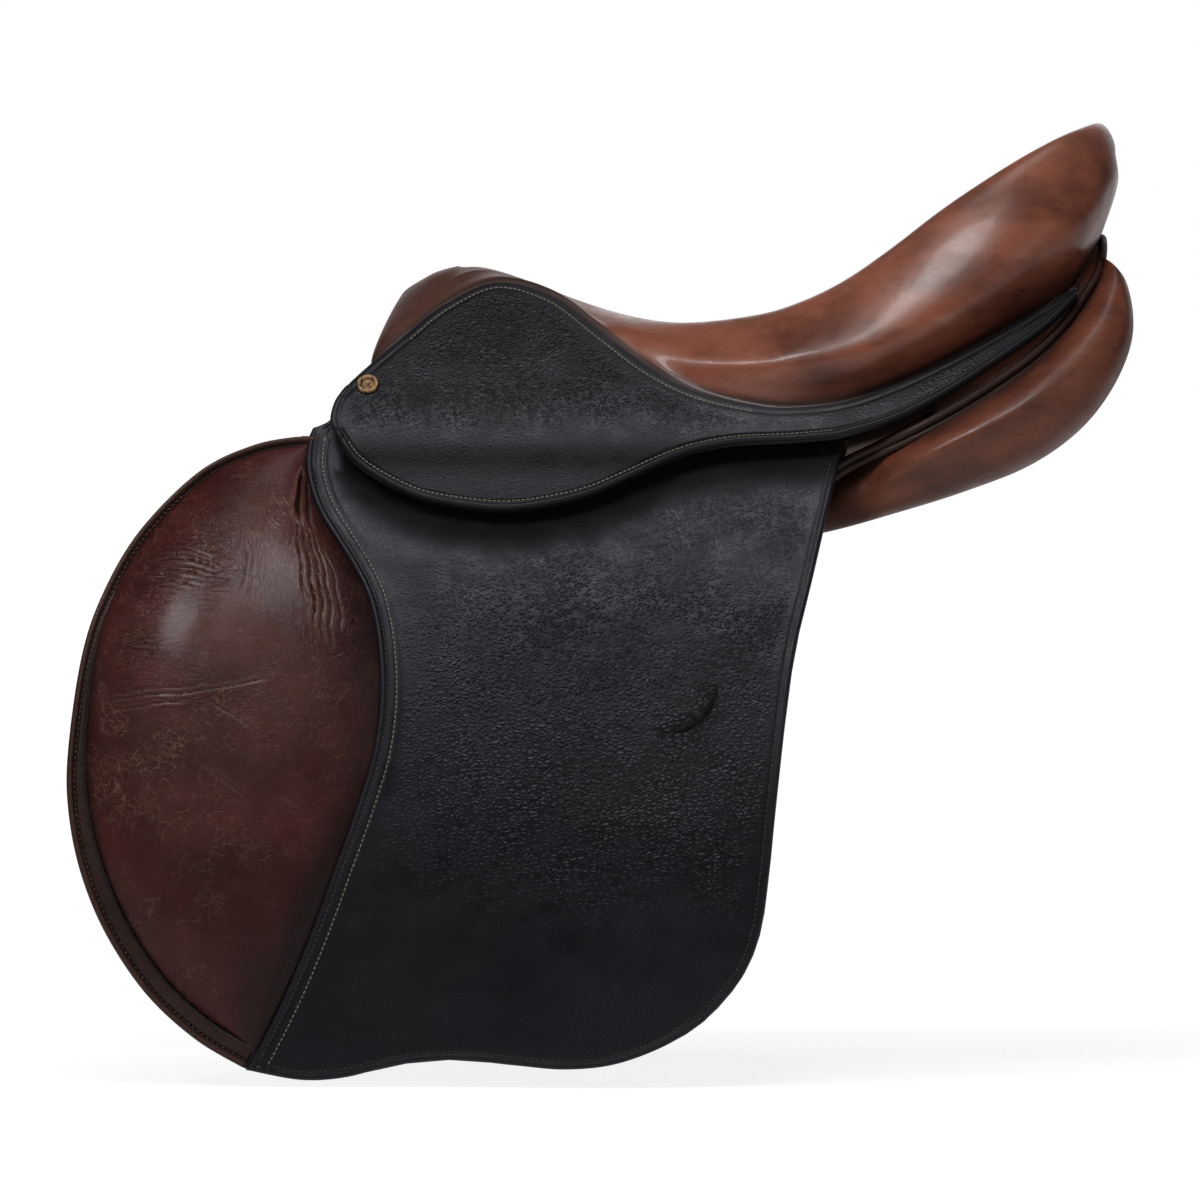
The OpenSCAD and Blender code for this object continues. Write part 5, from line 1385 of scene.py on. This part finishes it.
# %% Welt
flap_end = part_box("left_flap_lining")[1].x
welt_shares = [
    (-0.13, -0.08), (0.0, 0.02), (0.203, 0.125), (0.419, 0.268), (0.641, 0.450), (0.773, 0.606),
    (0.856, 0.750), (0.912, 0.884),
]
welt_radius = 2.7 * MM
welt_radii = np.full(len(welt_shares), flap_base + 2.4 * MM)
welt_radii[:2] = layer["flap_lining"][0] - np.array([8.0, 4.0]) * MM
welt_low, welt_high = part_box("cantle_welt")
welt_start = np.array([welt_low.x, welt_low.z + welt_radius])
welt_size = np.array([welt_high.x, welt_high.z]) - welt_radius - welt_start
welt_rear = np.array([[welt_high.x - 4.0 * MM, 0.0, welt_high.z + 0.8 * MM]])
welt_flat = welt_start + np.array(welt_shares) * welt_size
welt_left = on_barrel(flat_places(welt_flat[:, 0], welt_flat[:, 1], welt_radii), welt_radii, welt_radii)
welt_steps = 280
welt_path = smooth_line(np.concatenate([welt_left, welt_rear, (welt_left * (1, -1, 1))[::-1]]), welt_steps)
for _ in range(30):
    welt_path[1:-1] = welt_path[1:-1] + 0.25 * (welt_path[2:] + welt_path[:-2] - 2 * welt_path[1:-1])
welt_half = welt_path[: welt_steps // 2 + 1]
way = unit(np.gradient(welt_path, axis=0))
outside = unit(np.cross(way, up))
above = np.cross(outside, way)
welt_sides = 18
angle = 2 * math.pi * np.arange(welt_sides) / welt_sides
circle = np.cos(angle)[None, :, None] * outside[:, None] + np.sin(angle)[None, :, None] * above[:, None]
# The shade mark darkens the welt all along, a little less toward the cantle.
toward_cantle = eased_step(welt_path[:, 0] - flap_end, 73.8 * MM, 143.8 * MM)[:, None] * np.ones(welt_sides)
welt_marks = {"shade": 0.95 - 0.15 * toward_cantle}
beads = {"cantle_roll": (0.0, welt_radius), "cantle_roll_lower": (-4.4 * MM, 2.2 * MM)}
for name, (drop, radius) in beads.items():
    rings = (welt_path + drop * above)[:, None] + radius * circle
    bead_piece = ring_tube(name, "left", rings, panel_leather, welt_marks)
    place_piece(bead_piece, "root", "panel_leather", *(["cantle_welt"] if drop == 0.0 else []))

# %% Facing behind the cantle
hem_line = seat_grid[:, -1]
facing_from = flap_end + 48.8 * MM
facing_top = line_at(hem_line[hem_line[:, 0] > facing_from], np.linspace(0, 1, 61))
facing_low = line_at(welt_half[welt_half[:, 0] > facing_from], np.linspace(0, 1, 61))
facing_across = np.linspace(0, 1, 9)
facing_half = ruled_grid(facing_top, facing_low, facing_across)
hollow = np.sin(math.pi * facing_across)[None, :, None]
facing_half = facing_half - np.array([2.0, -1.0, 0.0]) * MM * hollow
facing_half[-1, :, 1] = 0.0
# Painted shade: the facing is darker toward its front end, where it sinks into the recess by the tail.
facing_shade = 0.95 - 0.75 * eased_step(facing_half[..., 0] - flap_end, 43.8 * MM, 103.8 * MM)
facing = both_halves("cantle_facing", facing_half, panel_leather, {"shade": facing_shade})
give_thickness(facing, strip_thickness)
place_piece(facing, "root", "panel_leather")

# %% Gusset between the panels
channel_half = -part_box("left_panel")[1].y
gusset_half = 2 * channel_half
gusset_top = welt_path[np.abs(welt_path[:, 1]) < gusset_half] - 3.0 * MM * up
gusset_top = line_at(gusset_top, np.linspace(0, 1, 41))
gusset_low = gusset_top * (1, 0.92, 0.25) + np.array([-9 * MM, 0.0, 0.75 * gusset_top[20, 2] - 58 * MM])
gusset_across = np.linspace(0, 1, 9)
gusset_grid = ruled_grid(gusset_top, gusset_low, gusset_across)
gusset_grid[..., 0] += 2.5 * MM * np.sin(math.pi * gusset_across)
index = np.arange(gusset_grid[..., 0].size).reshape(gusset_grid.shape[:2])
# Painted shade darkens the whole gusset, which lies between the panels' ends.
gusset_marks = {"shade": np.full(index.size, 0.45)}
gusset = leather_object("rear_gusset", gusset_grid.reshape(-1, 3), quads(index), panel_leather, gusset_marks)
give_thickness(gusset, strip_thickness)
place_piece(gusset, "root", "panel_leather")

# %% Panel rings
# Each ring: shares of place along, out and up, then of its half width and half thickness.
panel_shares = [
    (0, 0.62, 0, 0.364, 0.18), (0.023, 0.667, 0.07, 0.69, 0.39), (0.093, 0.738, 0.081, 0.873, 0.545),
    (0.199, 0.821, 0.116, 0.98, 1), (0.330, 0.821, 0.186, 0.945, 0.94), (0.466, 0.81, 0.238, 0.836, 0.97),
    (0.575, 0.81, 0.256, 0.764, 0.606), (0.649, 0.833, 0.266, 0.764, 0.576),
    (0.722, 0.94, 0.322, 0.909, 0.64), (0.808, 1, 0.405, 1, 0.71), (0.893, 1, 0.512, 1, 0.81),
    (0.962, 0.94, 0.632, 0.89, 0.66), (1.008, 0.81, 0.806, 0.727, 0.40), (1.010, 0.66, 0.965, 0.50, 0.24),
    (0.990, 0.50, 1.022, 0.28, 0.12),
]
# How far each ring tilts and leans, in degrees.
panel_turns = [
    (58, 0), (58, 0), (57, 0), (55, 0), (50, 0), (41, 0), (32, 4), (22, 10), (15, 7), (12, -3),
    (10, -10), (8, -21), (5, -41), (0, -43), (0, -45),
]
panel_low, panel_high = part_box("left_panel")
panel_long, panel_wide, panel_tall = panel_high - panel_low
ring_place = np.array([0.9915 * panel_long, -0.7562 * panel_wide, 0.8765 * panel_tall])
ring_size = np.array([0.4951 * panel_wide, 0.1682 * panel_tall])
ring_shares = np.array(panel_shares) * np.concatenate([ring_place, ring_size])
panel_keys = np.concatenate([ring_shares, np.radians(panel_turns)], axis=1)
panel_keys[:, 0] += panel_low.x
panel_keys[:, 2] += panel_low.z + 0.1589 * panel_tall
panel_steps = 160
panel_sides = 80
keys = smooth_line(panel_keys, panel_steps)
angle = 2 * math.pi * np.arange(panel_sides) / panel_sides
squareness = 2 / 2.6


def squared(value):
    return np.sign(value) * np.abs(value) ** squareness


wide = keys[:, 3, None] * squared(np.cos(angle))
thick = keys[:, 4, None] * squared(np.sin(angle))
tilt = keys[:, 5]
lean = keys[:, 6]
sideways = np.stack([0 * tilt, -np.cos(tilt), -np.sin(tilt)], axis=1)
upright = np.stack([np.sin(lean), -np.sin(tilt) * np.cos(lean), np.cos(tilt) * np.cos(lean)], axis=1)
panel_rings = keys[:, None, :3] + wide[..., None] * sideways[:, None] + thick[..., None] * upright[:, None]
print("panel rings", panel_rings.shape[:2])

# %% Panel kept clear and drawn to the welt
sweat_radius = side_extent("left_sweat_flap")[2][0]
sweat_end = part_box("left_sweat_flap")[1].x
point_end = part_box("tree_head")[0].z - 0.3 * MM
x = panel_rings[..., 0]
limit = np.where(x > sweat_end - 5.1 * MM, layer["flap_lining"][0], sweat_radius) - 0.6 * MM
free = (x > flap_end + 3.8 * MM) | (x < panel_low.x + 56 * MM)
limit = np.where(free, np.inf, limit)
reach = panel_rings - barrel_point
radial = reach - (reach @ along)[..., None] * along
radius = np.linalg.norm(radial, axis=-1)
panel_rings = panel_rings + radial * (np.minimum(limit / radius, 1.0) - 1.0)[..., None]
panel_rings[..., 1] = np.minimum(panel_rings[..., 1], -channel_half)
at_points = x < panel_low.x + 66 * MM
panel_rings[..., 2] = np.where(at_points, np.minimum(panel_rings[..., 2], point_end), panel_rings[..., 2])
ring_tops = panel_rings[:, panel_sides // 4]
nearest = np.linalg.norm(ring_tops[:, None] - welt_half[None], axis=2).argmin(axis=1)
seam_under_welt = welt_half[nearest] - np.array([0.0, -1.5, 4.5]) * MM
drawn_share = eased_step(ring_tops[:, 0] - flap_end, 8.8 * MM, 48.8 * MM)
drawn = (seam_under_welt - ring_tops) * drawn_share[:, None]
share_of_pull = np.clip(np.sin(angle), 0, 1) ** 1.1
panel_rings = panel_rings + drawn[:, None] * share_of_pull[None, :, None]
for _ in range(4):
    inner = panel_rings[1:-1]
    panel_rings[1:-1] = inner + 0.25 * (panel_rings[2:] + panel_rings[:-2] - 2 * inner)
    around = np.roll(panel_rings, 1, axis=1) + np.roll(panel_rings, -1, axis=1)
    panel_rings = panel_rings + 0.2 * (around - 2 * panel_rings)
behind = keys[:, :1] - flap_end
# Painted shade: the panel is darker under the welt and where it runs in behind the flap. Its underside is
# darker and duller: sweat-darkened leather with painted shade.
welt_shadow = bell(angle, math.pi / 2, 0.35) * eased_step(behind, 3.8 * MM, 43.8 * MM)
flap_shadow = eased_step(behind, 28.8 * MM, -1.2 * MM)
underside = 0.55 * bell(angle, 1.5 * math.pi, 0.9)
panel_marks = {"shade": np.clip(0.8 * welt_shadow + 0.5 * flap_shadow + underside, 0, 0.85)}
for side in ("left", "right"):
    panel = ring_tube(side + "_panel_calf", side, panel_rings, panel_leather, panel_marks)
    place_piece(panel, "root", "panel_leather", side + "_panel")

# %% [markdown]
# ## Finishes of the hard pieces
# Tree, springs, bars, nails, webs and straps keep their own solids. Each gets the finish of its stuff.

# %% Dress the frame's nodes
words_of = [
    (beech, "tree_head tree_cantle tree_rail"),
    (steel, "head_plate gullet_plate rail_spring tree_rivets stirrup_bar catch flap_nails"),
    (antique_brass, "skirt_nails"),
    (webbing, "web"),
    (lining_leather, "pommel_facing lining sweat"),
    (strap_leather, "strap guard"),
    (binding_leather, "band"),
    (foam, "foam"),
]
dressed = 0
for name, node in frame["nodes"].items():
    fitting = [finish for finish, words in words_of if any(word in name for word in words.split())]
    if fitting:
        node.data.materials.clear()
        node.data.materials.append(fitting[0])
        dressed += 1
print(dressed, "nodes dressed")

# %% [markdown]
# ## Size
# The dressed saddle keeps the frame's size. The frame's box is printed.

# %% Print the frame's box
print("frame", [tuple(round(v, 3) for v in corner) for corner in frame_box])
